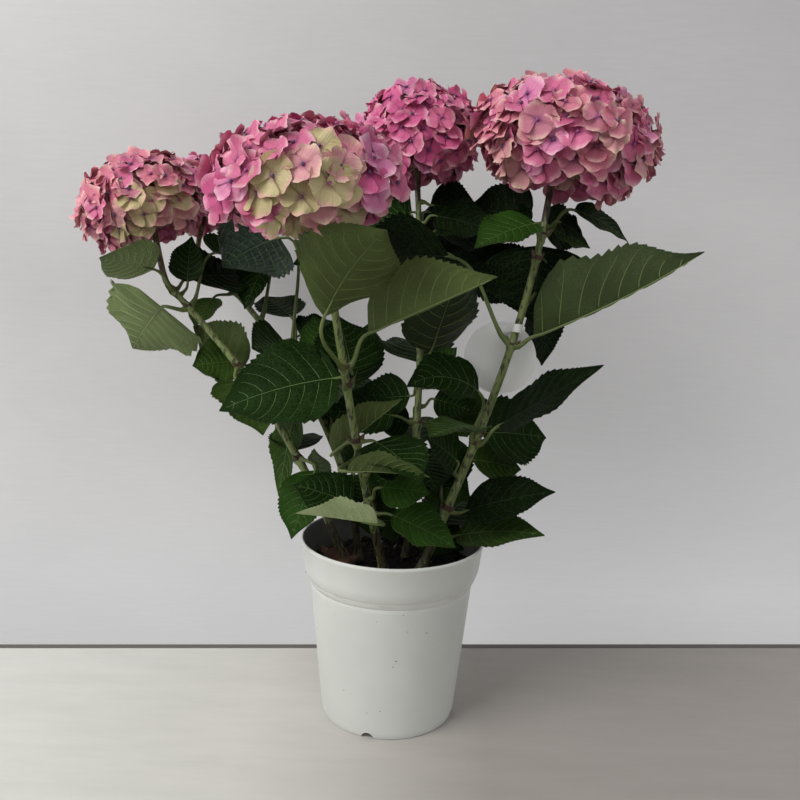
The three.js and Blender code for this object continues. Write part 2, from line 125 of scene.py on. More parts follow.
# Hang tag
TAG_R = 29
TAG_THICK = 0.9
TAG_CENTRE = (82, 10, 300)
TAG_TURN = 86
TAG_STRIP_Z = 326

# name, foot x, y, azimuth and lean at the foot, tip x, y, z, azimuth and lean at the tip,
# radius at the foot and at the tip
CANES = [
    ("a", -38, -6, 180, 20, -190, 26, 348, 172, 46, 3.6, 2.5),
    ("b", -28, 6, 170, 4, -184, 104, 374, 150, 54, 3.4, 2.3),
    ("c", -6, -18, 215, 16, -53, -92, 400, 235, 14, 3.6, 2.5),
    ("d", 12, 16, 60, 8, 11, 75, 436, 140, 6, 3.4, 2.4),
    ("e", 24, -14, 5, 20, 113, 6, 430, 40, 9, 3.8, 2.6),
]

# The height from which each cane is brown
BROWN_FROM = {"a": 344, "b": 342, "c": 376, "d": 424, "e": 405}

# name, centre x, y, z, radius, height above and below the widest ring, azimuth and tilt of the
# axis, florets, floret size
HEADS = [
    ("a", -212, 30, 416, 54, 40, 38, 180, 22, 112, 21.5),
    ("b", -186, 126, 428, 45, 38, 34, 110, 12, 86, 21),
    ("c", -65, -95, 430, 66, 41, 38, 250, 12, 104, 26),
    ("d", 10, 76, 480, 54, 46, 42, 120, 4, 110, 22.5),
    ("e", 123, 5, 473, 74, 46, 42, 0, 10, 158, 24.5),
]

# Pair name, cane, height of the node, then two leaves: stalk, azimuth, lift, length, width,
# facing azimuth, rise, droop, roll, fold
PAIRS = [
    ("c2", "c", 298, (52, -112, 59, 102, 94, -58, 34, 0, -8, 8),
     (32, -23, 54, 108, 74, -32, 24, 0, -40, 50)),
    ("e2", "e", 312, (19, -23, 25, 138, 90, -24, 24, -12, -40, 50),
     (86, -165, 51, 80, 80, -150, 2, 15, -45, 8)),
    ("d2", "d", 276, (26, -46, 62, 90, 72, -61, 60, 0, 0, 8),
     (22, 95, 30, 88, 70, 92, 20, 30, 0, 8)),
    ("e1", "e", 233, (44, -87, 78, 62, 58, -168, 40, 75, -30, 8),
     (26, -27, 41, 96, 60, -27, 35, 0, 30, 8)),
    ("c1", "c", 284, (15, -115, 32, 88, 78, -174, -6, 20, -42, 8),
     (16, 76, -4, 66, 40, 80, 40, 0, 0, 10)),
    ("a2", "a", 331, (22, -149, 1, 96, 92, 124, -22, 10, 42, 8),
     (58, 70, 50, 62, 56, 64, 10, 20, 20, 10)),
    ("cf", "c", 178, (36, -78, 14, 60, 46, -170, 6, 0, 35, 42),
     (18, -31, 5, 56, 58, -17, -18, 10, 15, 10)),
    ("e3", "e", 398, (11, -138, 50, 62, 46, -148, -10, 20, -25, 12),
     (39, 34, 38, 54, 38, 12, -8, 25, 35, 8)),
    ("b2", "b", 285, (105, -164, 85, 60, 80, -137, -15, 20, -45, 8),
     (47, 118, 70, 58, 48, 146, 37, 10, -10, 8)),
    ("a3", "a", 344, (30, -112, 36, 50, 52, -124, 12, 5, 38, 10),
     (28, 83, 20, 66, 70, 57, 8, 15, 30, 10)),
    ("a1", "a", 284, (30, 107, 8, 70, 74, 127, 17, 15, -10, 8),
     (20, -85, -23, 62, 60, -56, -24, 20, 0, 10)),
    ("ef", "e", 178, (16, -27, 5, 76, 50, -22, 26, 12, 35, 8),
     (20, 120, 30, 60, 48, 90, 35, 25, 0, 8)),
    ("eg", "e", 158, (16, -10, -5, 76, 44, -35, 22, 22, 25, 8),
     (16, 90, 10, 66, 54, 70, 14, 20, 10, 8)),
    ("em", "e", 243, (22, 82, -15, 68, 68, 28, -3, 10, 50, 8),
     (24, -100, 20, 60, 50, -130, 10, 20, 0, 8)),
    ("c0", "c", 240, (15, -14, 3, 58, 54, -50, -8, 20, 10, 8),
     (27, 143, -67, 74, 40, -20, 5, 0, -35, 45)),
    ("a0", "a", 247, (25, -47, -8, 56, 40, -100, -62, 10, 0, 12),
     (20, 110, 10, 70, 52, 120, 20, 25, 0, 10)),
    ("af", "a", 212, (20, -40, -15, 60, 46, -110, -44, 10, 0, 10),
     (18, 110, 10, 56, 48, 95, 15, 30, 0, 10)),
    ("b1", "b", 250, (32, -85, 29, 63, 40, -74, -34, 30, 0, 12),
     (40, 40, -10, 60, 50, 80, 30, 20, 0, 10)),
    ("b3", "b", 342, (20, -152, -16, 36, 34, -113, -37, 10, 0, 10),
     (25, 97, 30, 70, 60, 74, 10, 20, 0, 10)),
    ("bm", "b", 264, (36, 172, 80, 53, 60, -131, 23, 10, -40, 8),
     (33, -55, 35, 59, 44, 102, 51, 10, 0, 10)),
    ("e4", "e", 380, (40, 80, 15, 64, 94, -100, -80, 5, 0, 8),
     (38, 145, 5, 66, 52, -165, -66, 10, -40, 8)),
    ("d3", "d", 372, (30, -150, 20, 84, 80, -170, 0, 20, -45, 8),
     (28, 0, 30, 80, 80, -20, -10, 20, 40, 8)),
    ("d1", "d", 238, (22, -150, 20, 62, 52, -160, 10, 15, -40, 8),
     (22, 20, -10, 56, 52, 10, -5, 15, 45, 8)),
    ("d0", "d", 208, (24, -84, 20, 56, 50, -75, -5, 20, 0, 8),
     (24, 96, 20, 80, 62, 90, 20, 30, 0, 8)),
    ("dm", "d", 338, (26, 100, 40, 90, 74, 100, 10, 30, 0, 8),
     (24, -80, 30, 70, 60, -60, 20, 20, 10, 8)),
]

# Finer shoots between them, in the same columns
SHOOTS = [
    ("xd", "d", 405, (18, -39, 25, 53, 54, -16, -8, 10, 40, 8),
     (12, -168, 35, 46, 50, -169, -19, 10, -40, 8)),
    ("xe", "e", 392, (29, 61, 22, 35, 34, 7, -18, 10, 35, 8)),
    ("xb", "b", 318, (58, 72, 62, 57, 44, -115, -59, 10, 10, 8)),
    ("xc", "c", 305, (20, 67, -36, 47, 58, 120, 61, 10, 0, 8)),
    ("xg", "b", 215, (19, 76, 61, 30, 44, 42, 70, 10, 0, 8)),
    ("xf", "c", 212, (22, -58, 39, 38, 40, -13, 25, 10, 40, 8)),
    ("xh", "d", 252, (20, 130, -60, 33, 40, -176, 13, 10, -40, 8),
     (16, 38, 10, 35, 42, 4, -22, 10, 40, 8)),
    ("xi", "d", 225, (20, -54, -30, 35, 42, -30, -11, 10, 40, 8),
     (25, -112, -29, 35, 42, -150, -30, 10, -35, 8)),
    ("xj", "c", 172, (27, -115, 40, 49, 44, -165, 19, 10, -38, 8)),
    ("xa", "a", 290, (15, 100, -13, 34, 54, -158, 0, 10, -38, 8)),
    ("xk", "d", 268, (20, 52, -34, 39, 50, -13, 28, 10, 40, 8),
     (18, 118, -34, 53, 52, 178, -5, 10, -40, 8)),
    ("xl", "e", 205, (13, 148, 65, 35, 50, -176, 30, 10, -40, 8),
     (22, 58, 30, 47, 46, 20, -9, 10, 40, 8)),
    ("xm", "d", 190, (13, -34, 23, 43, 50, -15, -16, 10, 35, 8),
     (10, -137, 15, 47, 50, -167, -6, 10, -35, 8)),
    ("xn", "c", 192, (10, -102, 40, 33, 44, 160, 27, 10, -30, 8),
     (23, -57, 34, 38, 44, -6, 2, 10, 35, 8)),
    ("xo", "b", 182, (12, 86, -44, 38, 46, -164, -9, 10, -30, 8),
     (19, 76, 3, 36, 44, 11, 28, 10, 30, 8)),
    ("xp", "a", 174, (20, -137, 63, 33, 44, -153, 52, 10, -20, 8)),
    ("xq", "b", 232, (19, -155, 58, 30, 46, 180, 42, 10, -30, 8),
     (27, 70, 63, 36, 44, 7, 29, 10, 30, 8)),
    ("xs", "d", 424, (12, -19, 1, 42, 50, -11, 11, 10, 58, 8),
     (8, -150, -14, 27, 44, -170, 11, 10, -65, 8)),
    ("xt", "e", 405, (14, 131, 0, 28, 40, 167, 24, 10, -35, 8),
     (16, 43, 13, 23, 36, 19, -27, 10, 35, 8)),
    ("xu", "d", 392, (20, 12, 27, 56, 60, 11, 0, 10, 40, 8),
     (18, 167, 27, 38, 54, 164, 9, 10, -40, 8)),
    ("xv", "c", 230, (41, -99, -2, 57, 30, -2, 3, 10, -38, 42)),
    ("xw", "d", 408, (28, 64, 19, 50, 66, 11, -7, 10, 60, 8),
     (26, 105, 19, 38, 60, 164, -3, 10, -70, 8)),
    ("xy", "e", 366, (41, 59, 16, 46, 58, 31, -38, 10, 30, 8)),
    ("xz", "b", 300, (24, 38, 16, 32, 50, 22, 28, 10, 20, 8)),
    ("x1", "d", 415, (22, 71, 26, 62, 60, 139, -55, 10, 54, 8),
     (26, 62, 1, 63, 60, 21, -37, 10, 80, 8)),
    ("x2", "e", 400, (49, 95, 15, 67, 62, 137, 25, 10, -70, 8),
     (31, 60, -3, 51, 40, 19, -25, 10, 80, 8)),
    ("x3", "d", 380, (42, 68, 24, 65, 60, 17, -59, 10, 75, 8)),
    ("x4", "e", 345, (49, 78, 18, 52, 56, 133, 50, 10, -50, 8),
     (52, 68, 29, 55, 50, 30, -49, 10, 80, 8)),
    ("x5", "a", 340, (19, 90, 23, 38, 46, 58, 76, 10, 10, 8)),
    ("x6", "b", 330, (24, 106, 46, 30, 46, 151, 50, 10, -60, 8)),
    ("xr", "d", 150, (11, 4, 34, 42, 44, -32, 28, 10, 35, 8),
     (8, 173, 42, 49, 46, -155, 13, 10, -35, 8)),
    ("x7", "b", 190, (20, -64, 37, 28, 38, -84, -58, 10, 0, 8)),
    ("x8", "d", 172, (31, -105, 50, 26, 44, -115, -47, 10, 0, 8)),
    ("x9", "b", 262, (20, -83, 1, 34, 40, -100, -64, 10, 0, 8)),
]

# Leaves that turn a little further once they have found their place, as pair and rank
TURNED = {
    ("c2", 0): (62, -102, 40, 76, 98, -36, 62, 28, -30, 16),
    ("cf", 0): (34, -78, 4, 62, 36, -170, 12, 6, 35, 42),
    ("xv", 0): (41, -99, -5, 60, 32, -2, 3, 10, -38, 42),
    ("a0", 0): (26, 44, 15, 80, 48, -142, -73, 10, 0, 8),
    ("b1", 0): (17, 32, 12, 65, 42, -27, -73, 10, 0, 8),
    ("a1", 0): (24, 98, -21, 60, 66, 161, 44, 10, 78, 8),
}

# The leaf greens of the two leaves of a pair, and the pairs that take them. The rest are dealt out.
# The 'shade' green is painted shade, for leaves that lie in the heads' shadow.
PAIRS_OF_TONES = {
    "shade shade": "e4 dm xt xy x1 x3 x4 x8",
    "shade deep": "ef xd xs xu xw x2",
    "deep shade": "d3 e1",
    "deep deep": "d2 c1 xz x5 x6 xg x7 x9",
    "deep mid": "c0",
    "mid mid": "c2",
    "mid deep": "b1 af e3",
    "olive shade": "e2",
    "olive deep": "a0",
    "olive olive": "xa",
    "lime lime": "a1 xv",
    "lime deep": "b3",
    "pale mid": "cf",
    "bright deep": "a2 a3",
    "blue deep": "b2",
}
LEAF_TONES = {
    pair: tones.split() for tones, pairs in PAIRS_OF_TONES.items() for pair in pairs.split()
}
DEALT_TONES = ("deep", "deep", "mid", "olive")

# Leaves that narrow to a wedge at the stalk, and leaves with a strongly waved edge
WEDGES = {("c2", 0): 0.75}
WAVY = {("e2", 0), ("cf", 0), ("xv", 0), ("a2", 0)}
WAVIER = 2.2


# Numbers, directions and curves
def rad(degrees):
    return degrees * math.pi / 180


def vec(*xyz):
    return np.array(xyz, float)


def heading(azimuth, lift):
    level = math.cos(rad(lift))
    return vec(level * math.cos(rad(azimuth)), level * math.sin(rad(azimuth)), math.sin(rad(lift)))


def unit(v):
    return v / np.linalg.norm(v)


def mix(a, b, t):
    return a + (b - a) * t


def smooth(low, high, x):
    t = np.clip((x - low) / (high - low), 0, 1)
    return t * t * (3 - 2 * t)


def dice(seed):
    """A function that gives the next number from 0 to 1 of a fixed row."""
    state = [seed]

    def roll():
        state[0] = (state[0] * 1664525 + 1013904223) % 4294967296
        return state[0] / 4294967296

    return roll


class Bezier:
    """A cubic curve through four points."""

    def __init__(self, *points):
        self.points = np.array(points, float)

    def at(self, t):
        t = np.asarray(t, float)[..., None]
        a, b, c, d = self.points
        return (1 - t) ** 3 * a + 3 * (1 - t) ** 2 * t * b + 3 * (1 - t) * t * t * c + t**3 * d

    def way(self, t):
        low = max(t - 0.0001, 0)
        high = min(t + 0.0001, 1)
        return unit(self.at(high) - self.at(low))

    def length(self):
        points = self.at(np.linspace(0, 1, 201))
        return np.linalg.norm(np.diff(points, axis=0), axis=1).sum()


class Cane:
    """A stem on a cubic curve from its foot in the soil to its tip."""

    def __init__(self, fx, fy, az0, lean0, tx, ty, tz, az1, lean1, r0, r1):
        foot = vec(fx, fy, SOIL_Z + CLEAR)
        tip = vec(tx, ty, tz)
        reach = 0.36 * np.linalg.norm(tip - foot)
        out = foot + reach * heading(az0, 90 - lean0)
        back = tip - reach * heading(az1, 90 - lean1)
        self.curve = Bezier(foot, out, back, tip)
        self.r0 = r0
        self.r1 = r1
        self.nodes = []

    def radius(self, t):
        return mix(self.r0, self.r1, t)

    def param(self, z):
        low, high = 0.0, 1.0
        for _ in range(40):
            mid = (low + high) / 2
            if self.curve.at(mid)[2] < z:
                low = mid
            else:
                high = mid
        return (low + high) / 2


class Head:
    """A domed flower head about its own leaning axis."""

    def __init__(self, name, x, y, z, r, up, down, azimuth, tilt, count, size):
        self.name = name
        self.centre = vec(x, y, z)
        self.axis = heading(azimuth, 90 - tilt)
        self.e1 = unit(np.cross(vec(0, 1, 0), self.axis))
        self.e2 = np.cross(self.axis, self.e1)
        self.r = r
        self.up = up
        self.down = down
        self.hang = HEAD_HANG.get(name, 1)
        self.count = count
        self.size = size

    def at(self, theta, phi, share):
        """The place of a floret: angle from the axis, angle round it, share of the full size."""
        reach = HEAD_CROWN * self.up if math.cos(theta) > 0 else self.hang * self.down
        height = reach * math.cos(theta) * share
        spread = math.sin(theta) * self.r * share
        sideways = self.e1 * math.cos(phi) + self.e2 * math.sin(phi)
        return self.centre + self.axis * height + sideways * spread


# Growing the leaves, by the source's rule
def width_at(u):
    """A leaf's outline: its share of the full width at each share of its length."""
    u = np.clip(u, 0, 1)
    return np.sin(np.pi * u**0.72).clip(0) ** 0.8 * (1 - 0.1 * u)


class Leaf:
    """One leaf's stalk path and the frame of each station along its blade."""

    def __init__(self, cane, z, spec):
        stalk, azimuth, lift, length, width, facing, rise, droop, roll, fold = spec
        t = cane.param(z)
        node = cane.curve.at(t)
        up = cane.curve.way(t)
        out = heading(azimuth, lift)
        away = unit(out - up * out.dot(up))
        start = node + away * (cane.radius(t) + 1.8)
        base = node + out * stalk
        self.curve = Bezier(
            start,
            start + out * 0.35 * stalk,
            base - heading(facing, rise) * 0.35 * stalk,
            base,
        )
        side = vec(-math.sin(rad(facing)), math.cos(rad(facing)), 0)
        centre = base.copy()
        self.centres = []
        self.across = []
        self.over = []
        for i in range(FINE + 1):
            d = heading(facing, rise - droop * i / FINE)
            n = np.cross(d, side)
            self.across.append(side * math.cos(rad(roll)) + n * math.sin(rad(roll)))
            self.over.append(n * math.cos(rad(roll)) - side * math.sin(rad(roll)))
            self.centres.append(centre.copy())
            centre = centre + d * length / FINE
        self.centres = np.array(self.centres)
        self.across = np.array(self.across)
        self.over = np.array(self.over)
        self.fold = rad(fold)
        self.length = length
        self.width = width
        self.away = away
        self.node = node
        self.cane_r = cane.radius(t)

    def samples(self):
        """Seven points across the blade at each few stations, then points of the stalk."""
        points = []
        i = 2.0
        while i <= FINE:
            k = int(i + 0.5)
            half = self.width / 2 * float(width_at(k / FINE))
            for j in range(-3, 4):
                v = j / SAMPLES_TO_EDGE
                p = self.centres[k] + self.across[k] * half * v * math.cos(self.fold)
                points.append(p + self.over[k] * half * abs(v) * math.sin(self.fold))
            i += STATION_STEP
        steps = math.ceil(self.curve.length() / STALK_SAMPLE)
        for k in range(1, steps + 1):
            if k * STALK_SAMPLE > STALK_FREE_FROM:
                points.append(self.curve.at(k / steps))
        return np.array(points)


def is_free(samples, crowd, heads, apart, margin):
    """True if no sample touches the soil, the pot's rim, the crowd or a head."""
    from_axis = np.hypot(samples[:, 0], samples[:, 1])
    height = samples[:, 2]
    if ((from_axis < POT_TOP_R + SOIL_GAP) & (height < SOIL_Z + SOIL_GAP)).any():
        return False
    beside, above = RIM_GAPS
    if ((abs(from_axis - POT_TOP_R) < beside) & (height < POT_H + above)).any():
        return False
    gaps = ((samples[:, None] - crowd[None]) ** 2).sum(2)
    if (gaps < apart * apart).any():
        return False
    for head in heads:
        d = samples - head.centre
        along = d @ head.axis
        a = along / (np.where(along > 0, head.up, head.down) + margin)
        b = np.sqrt(((d * d).sum(1) - along**2).clip(0)) / (head.r + margin)
        if (a * a + b * b < 1).any():
            return False
    return True


def swings():
    """Turns and lifts in degrees, from none to six steps each way."""
    yield 0, 0
    for k in range(1, 7):
        for a, b in ((1, 0), (-1, 0), (0, 1), (0, -1), (1, 1), (-1, 1), (1, -1), (-1, -1)):
            yield TURN_STEP * k * a, LIFT_STEP * k * b


def grow_leaves(canes, heads):
    """The leaves of each pair, each swung a few degrees at a time until it touches nothing."""
    crowd = np.concatenate([cane.curve.at(np.arange(61) / 60) for cane in canes.values()])
    grown = []
    for name, cane_name, z, *specs in PAIRS + SHOOTS:
        fine = name.startswith("x")
        cane = canes[cane_name]
        if not fine:
            cane.nodes.append(z)
        for k, spec in enumerate(specs):
            for turn, higher in swings():
                moved = list(spec)
                moved[1] += turn
                moved[2] += higher
                moved[5] += turn
                moved[6] += higher
                leaf = Leaf(cane, z, moved)
                samples = leaf.samples()
                if is_free(samples, crowd, heads, LEAF_GAPS[fine], HEAD_GAPS[fine]):
                    crowd = np.concatenate([crowd, samples])
                    if (name, k) in TURNED:
                        leaf = Leaf(cane, z, TURNED[name, k])
                    leaf.pair, leaf.rank, leaf.cane = name, k, cane_name
                    grown.append(leaf)
                    break
    return grown


# Meshes from arrays
class Pile:
    """Points, faces, a material slot for each face, and a map and a value for each point."""

    def __init__(self):
        self.points = []
        self.faces = []
        self.slots = []
        self.maps = []
        self.values = []
        self.count = 0

    def add(self, points, faces, slot=0, uv=None, value=None):
        points = np.asarray(points, float)
        self.points.append(points)
        self.faces.extend(tuple(i + self.count for i in f) for f in faces)
        if np.isscalar(slot):
            slot = [slot] * len(faces)
        self.slots.extend(slot)
        self.maps.append(np.zeros((len(points), 2)) if uv is None else np.asarray(uv, float))
        self.values.append(np.zeros(len(points)) if value is None else np.asarray(value, float))
        self.count += len(points)

    def build(self, name, materials, angle=None):
        mesh = bpy.data.meshes.new(name)
        mesh.from_pydata((np.concatenate(self.points) * MM).tolist(), [], self.faces)
        mesh.polygons.foreach_set("material_index", self.slots)
        corners = np.zeros(len(mesh.loops), np.int32)
        mesh.loops.foreach_get("vertex_index", corners)
        uv = mesh.uv_layers.new(name="surface")
        uv.data.foreach_set("uv", np.concatenate(self.maps)[corners].astype(np.float32).ravel())
        value = mesh.attributes.new("reach", "FLOAT", "POINT")
        value.data.foreach_set("value", np.concatenate(self.values).astype(np.float32))
        for m in materials:
            mesh.materials.append(m)
        piece = bpy.data.objects.new(name, mesh)
        bpy.context.scene.collection.objects.link(piece)
        smooth_faces(piece, angle)
        return piece


def smooth_faces(piece, angle=None):
    bpy.ops.object.select_all(action="DESELECT")
    piece.select_set(True)
    bpy.context.view_layer.objects.active = piece
    if angle is None:
        bpy.ops.object.shade_smooth()
    else:
        bpy.ops.object.shade_smooth_by_angle(angle=rad(angle))


def ring_faces(rings, sides):
    """The faces between rings of points that follow one another."""
    faces = []
    for k in range(rings - 1):
        for i in range(sides):
            j = (i + 1) % sides
            faces.append((k * sides + i, k * sides + j, (k + 1) * sides + j, (k + 1) * sides + i))
    return faces


def ways_along(points):
    """The unit direction of a path at each of its points."""
    ways = np.gradient(points, axis=0)
    return ways / np.maximum(np.linalg.norm(ways, axis=1), 1e-9)[:, None]


def tube(points, radii, sides):
    """Points and faces of a tapered tube with closed ends, its rings carried along untwisted."""
    points = np.asarray(points, float)
    ways = ways_along(points)
    e1 = vec(0, 1, 0) if abs(ways[0][0]) > 0.9 else vec(1, 0, 0)
    angles = np.arange(sides) * 2 * np.pi / sides
    rings = []
    for p, d, r in zip(points, ways, radii):
        e1 = unit(e1 - d * e1.dot(d))
        e2 = np.cross(d, e1)
        rings.append(p + r * (np.cos(angles)[:, None] * e1 + np.sin(angles)[:, None] * e2))
    last = (len(points) - 1) * sides
    faces = ring_faces(len(points), sides)
    faces.append(tuple(reversed(range(sides))))
    faces.append(tuple(last + i for i in range(sides)))
    return np.concatenate(rings), faces


# Leaf blades
class Blade:
    """The fine surface of one leaf: a quilted blade with a toothed edge."""

    def __init__(self, leaf, random):
        self.leaf = leaf
        self.quilt = (0.8 + 0.6 * random()) * leaf.length / 90
        self.wave = (0.6 + 0.9 * random()) * leaf.width / 32
        self.phase = (6.3 * random(), 6.3 * random())
        self.pitch = VEIN_SPAN / VEIN_PAIRS
        self.curl = 0.12 + 0.3 * random()
        which = (leaf.pair, leaf.rank)
        self.wedge = WEDGES.get(which, 0)
        if which in WAVY:
            self.wave *= WAVIER

    def lean(self, u):
        """How far a side vein runs towards the tip on its way to the edge."""
        return VEIN_LEAN * np.sin(np.pi * np.clip(u, 0, 1) ** 0.8)

    def at(self, u, v, tooth=0.0):
        """The middle of the blade at u along it and v from -1 to 1 across it."""
        leaf = self.leaf
        u = np.asarray(u, float)
        v = np.asarray(v, float)
        side = np.abs(v)
        s = np.clip(u + self.lean(u) * side**1.5 + TOOTH_ALONG * tooth, 0, 1)
        k = np.clip((s * FINE).astype(int), 0, FINE - 1)
        t = (s * FINE - k)[..., None]
        centre = mix(leaf.centres[k], leaf.centres[k + 1], t)
        across = mix(leaf.across[k], leaf.across[k + 1], t)
        over = mix(leaf.over[k], leaf.over[k + 1], t)
        tip = 1 - TIP_SLIMMER * smooth(0.72, 1, s)
        half = leaf.width / 2 * width_at(s) * tip * (1 + TOOTH_OUT * tooth)
        half = half * mix(1, smooth(-0.1, 0.75, s), self.wedge)
        ribs = (u - VEIN_START) / self.pitch
        quilt = np.sin(np.pi * ribs) ** 2 * np.sin(np.pi * np.clip(side, 0, 1) ** 0.7) ** 0.8
        quilt = self.quilt * quilt * np.sin(np.pi * s) ** 0.5
        waves = np.where(v > 0, self.phase[0], self.phase[1])
        ripple = self.wave * side**2.5 * np.sin(EDGE_WAVES * np.pi * s + waves) * np.sin(np.pi * s)
        lift = half * side * math.sin(leaf.fold) + half * self.curl * (side**2 - side)
        sideways = half * v * math.cos(leaf.fold)
        height = lift + quilt + ripple
        return centre + across * sideways[..., None] + over * height[..., None]

    def normal(self, u, v):
        step = 0.004
        along = self.at(u + step, v) - self.at(u - step, v)
        sideways = self.at(u, v + step) - self.at(u, v - step)
        n = np.cross(along, sideways)
        return n / np.maximum(np.linalg.norm(n, axis=-1), 1e-9)[..., None]


def blade_mesh(pile, blade, slot_top, slot_under, shift):
    """Two skins a leaf's thickness apart, joined by a rim along the toothed edge."""
    columns = np.array([-c for c in reversed(BLADE_COLUMNS[1:])] + list(BLADE_COLUMNS))
    rows = np.arange(1, BLADE_ROWS) / BLADE_ROWS
    u, v = np.meshgrid(rows, columns, indexing="ij")
    teeth = np.where(np.arange(1, BLADE_ROWS) % 2 == 0, 1.0, TOOTH_BACK)
    teeth = teeth * smooth(0.08, 0.16, rows)
    tooth = np.where(np.abs(v) > 0.99, teeth[:, None], 0.0)
    mid = blade.at(u, v, tooth).reshape(-1, 3)
    base = blade.at(np.array([0.0]), np.array([0.0]))
    tip = blade.at(np.array([1.0]), np.array([0.0]))
    points = np.concatenate([mid, base, tip])
    width = len(columns)
    normals = grid_normals(points[:-2].reshape(len(rows), width, 3)).reshape(-1, 3)
    ends = np.array([blade.leaf.over[0], blade.leaf.over[-1]])
    normals = np.concatenate([normals, ends])
    top = points + normals * LEAF_THICK / 2
    under = points - normals * LEAF_THICK / 2
    faces = []
    for i in range(len(rows) - 1):
        for j in range(width - 1):
            a = i * width + j
            faces.append((a, a + width, a + width + 1, a + 1))
    base_at = len(mid)
    tip_at = base_at + 1
    last = (len(rows) - 1) * width
    for j in range(width - 1):
        faces.append((base_at, j, j + 1))
        faces.append((tip_at, last + j + 1, last + j))
    count = len(points)
    lower = [tuple(i + count for i in reversed(f)) for f in faces]
    right = [i * width + width - 1 for i in range(len(rows))]
    left = [i * width for i in range(len(rows))]
    loop = [base_at] + left + [tip_at] + right[::-1]
    rim = []
    for a, b in zip(loop, loop[1:] + loop[:1]):
        rim.append((a, a + count, b + count, b))
    half = blade.leaf.width / 2
    uv = np.column_stack([u.ravel() * blade.leaf.length, v.ravel() * half]) / 100
    uv = np.concatenate([uv, [[0, 0], [blade.leaf.length / 100, 0]]]) + shift
    value = np.concatenate([np.abs(v).ravel(), [0, 1]])
    slots = [slot_top] * len(faces) + [slot_under] * (len(lower) + len(rim))
    pile.add(
        np.concatenate([top, under]),
        faces + lower + rim,
        slots,
        np.concatenate([uv, uv + 3]),
        np.concatenate([value, value]),
    )


def grid_normals(grid):
    along = np.gradient(grid, axis=0)
    sideways = np.gradient(grid, axis=1)
    n = np.cross(along, sideways)
    return n / np.maximum(np.linalg.norm(n, axis=-1), 1e-9)[..., None]


def vein_paths(blade, branches):
    """(u, v, widths) of the midrib, the side veins and, if asked, their outer branches."""
    u = np.linspace(0.0, 0.97, 26)
    yield u, np.zeros_like(u), mix(1.5, 0.35, u) * blade.leaf.length / 95
    for k in range(VEIN_PAIRS + 1):
        start = VEIN_START + (k if k else 0.12) * blade.pitch
        for side in (-1, 1):
            v = np.linspace(0.0, 0.95 - 0.5 * smooth(0.5, 0.88, start), 9)
            u = np.full_like(v, start) + 0.006 * side
            widths = mix(1.0, 0.25, v) * (0.35 + 0.65 * blade.leaf.length / 95)
            yield u, v * side, widths
            if branches and k < VEIN_PAIRS:
                for begin, reach in ((0.42, 0.30), (0.66, 0.22)):
                    t = np.linspace(0, 1, 4)
                    v_branch = begin + reach * t
                    u_branch = start - 0.45 * blade.pitch * t**1.2
                    yield u_branch, v_branch * side, mix(0.36, 0.14, t)


def vein_mesh(pile, blade, below, slot):
    """Veins as slim three-sided ridges, on the upper or the lower face."""
    sign = -1 if below else 1
    for u, v, widths in vein_paths(blade, below):
        centre = blade.at(u, v)
        normal = blade.normal(u, v) * sign
        sideways = np.cross(normal, ways_along(centre))
        skin = centre + normal * LEAF_THICK / 2
        widths = widths * (0.9 if below else 0.8)
        height = widths * (0.45 if below else 0.1) + (0.03 if below else 0.13)
        foot = skin - normal * VEIN_SINK
        left = foot - sideways * widths[:, None] / 2
        right = foot + sideways * widths[:, None] / 2
        crest = skin + normal * height[:, None]
        points = np.stack([left, right, crest], axis=1)
        points[0] = points[0].mean(0)
        points[-1] = points[-1].mean(0)
        faces = [tuple(reversed(f)) for f in ring_faces(len(centre), 3)]
        pile.add(points.reshape(-1, 3), faces, slot)


def stalk_mesh(pile, leaf, blade):
    """The stalk, flared where it leaves the cane, which runs out under the blade's midrib."""
    big = 0.75 + 0.35 * leaf.length / 100
    points = list(leaf.curve.at(np.linspace(0, 1, 12)))
    points[0] = leaf.node + leaf.away * (leaf.cane_r * 0.6)
    radii = list(mix(STALK_R, STALK_TIP_R, np.linspace(0, 1, 12)) * big)
    radii[0] *= 1.7
    radii[1] *= 1.25
    for u in (0.06, 0.12, 0.2):
        p = blade.at(np.array([u]), np.array([0.0]))[0]
        n = blade.normal(np.array([u]), np.array([0.0]))[0]
        points.append(p - n * 0.7)
        radii.append(mix(STALK_TIP_R * big, 0.45, u / 0.2))
    pile.add(*tube(points, radii, 8))


# Materials
def linear(hex_colour):
    parts = [int(hex_colour[i : i + 2], 16) / 255 for i in (1, 3, 5)]
    return tuple((c / 12.92 if c < 0.04045 else ((c + 0.055) / 1.055) ** 2.4) for c in parts) + (1,)


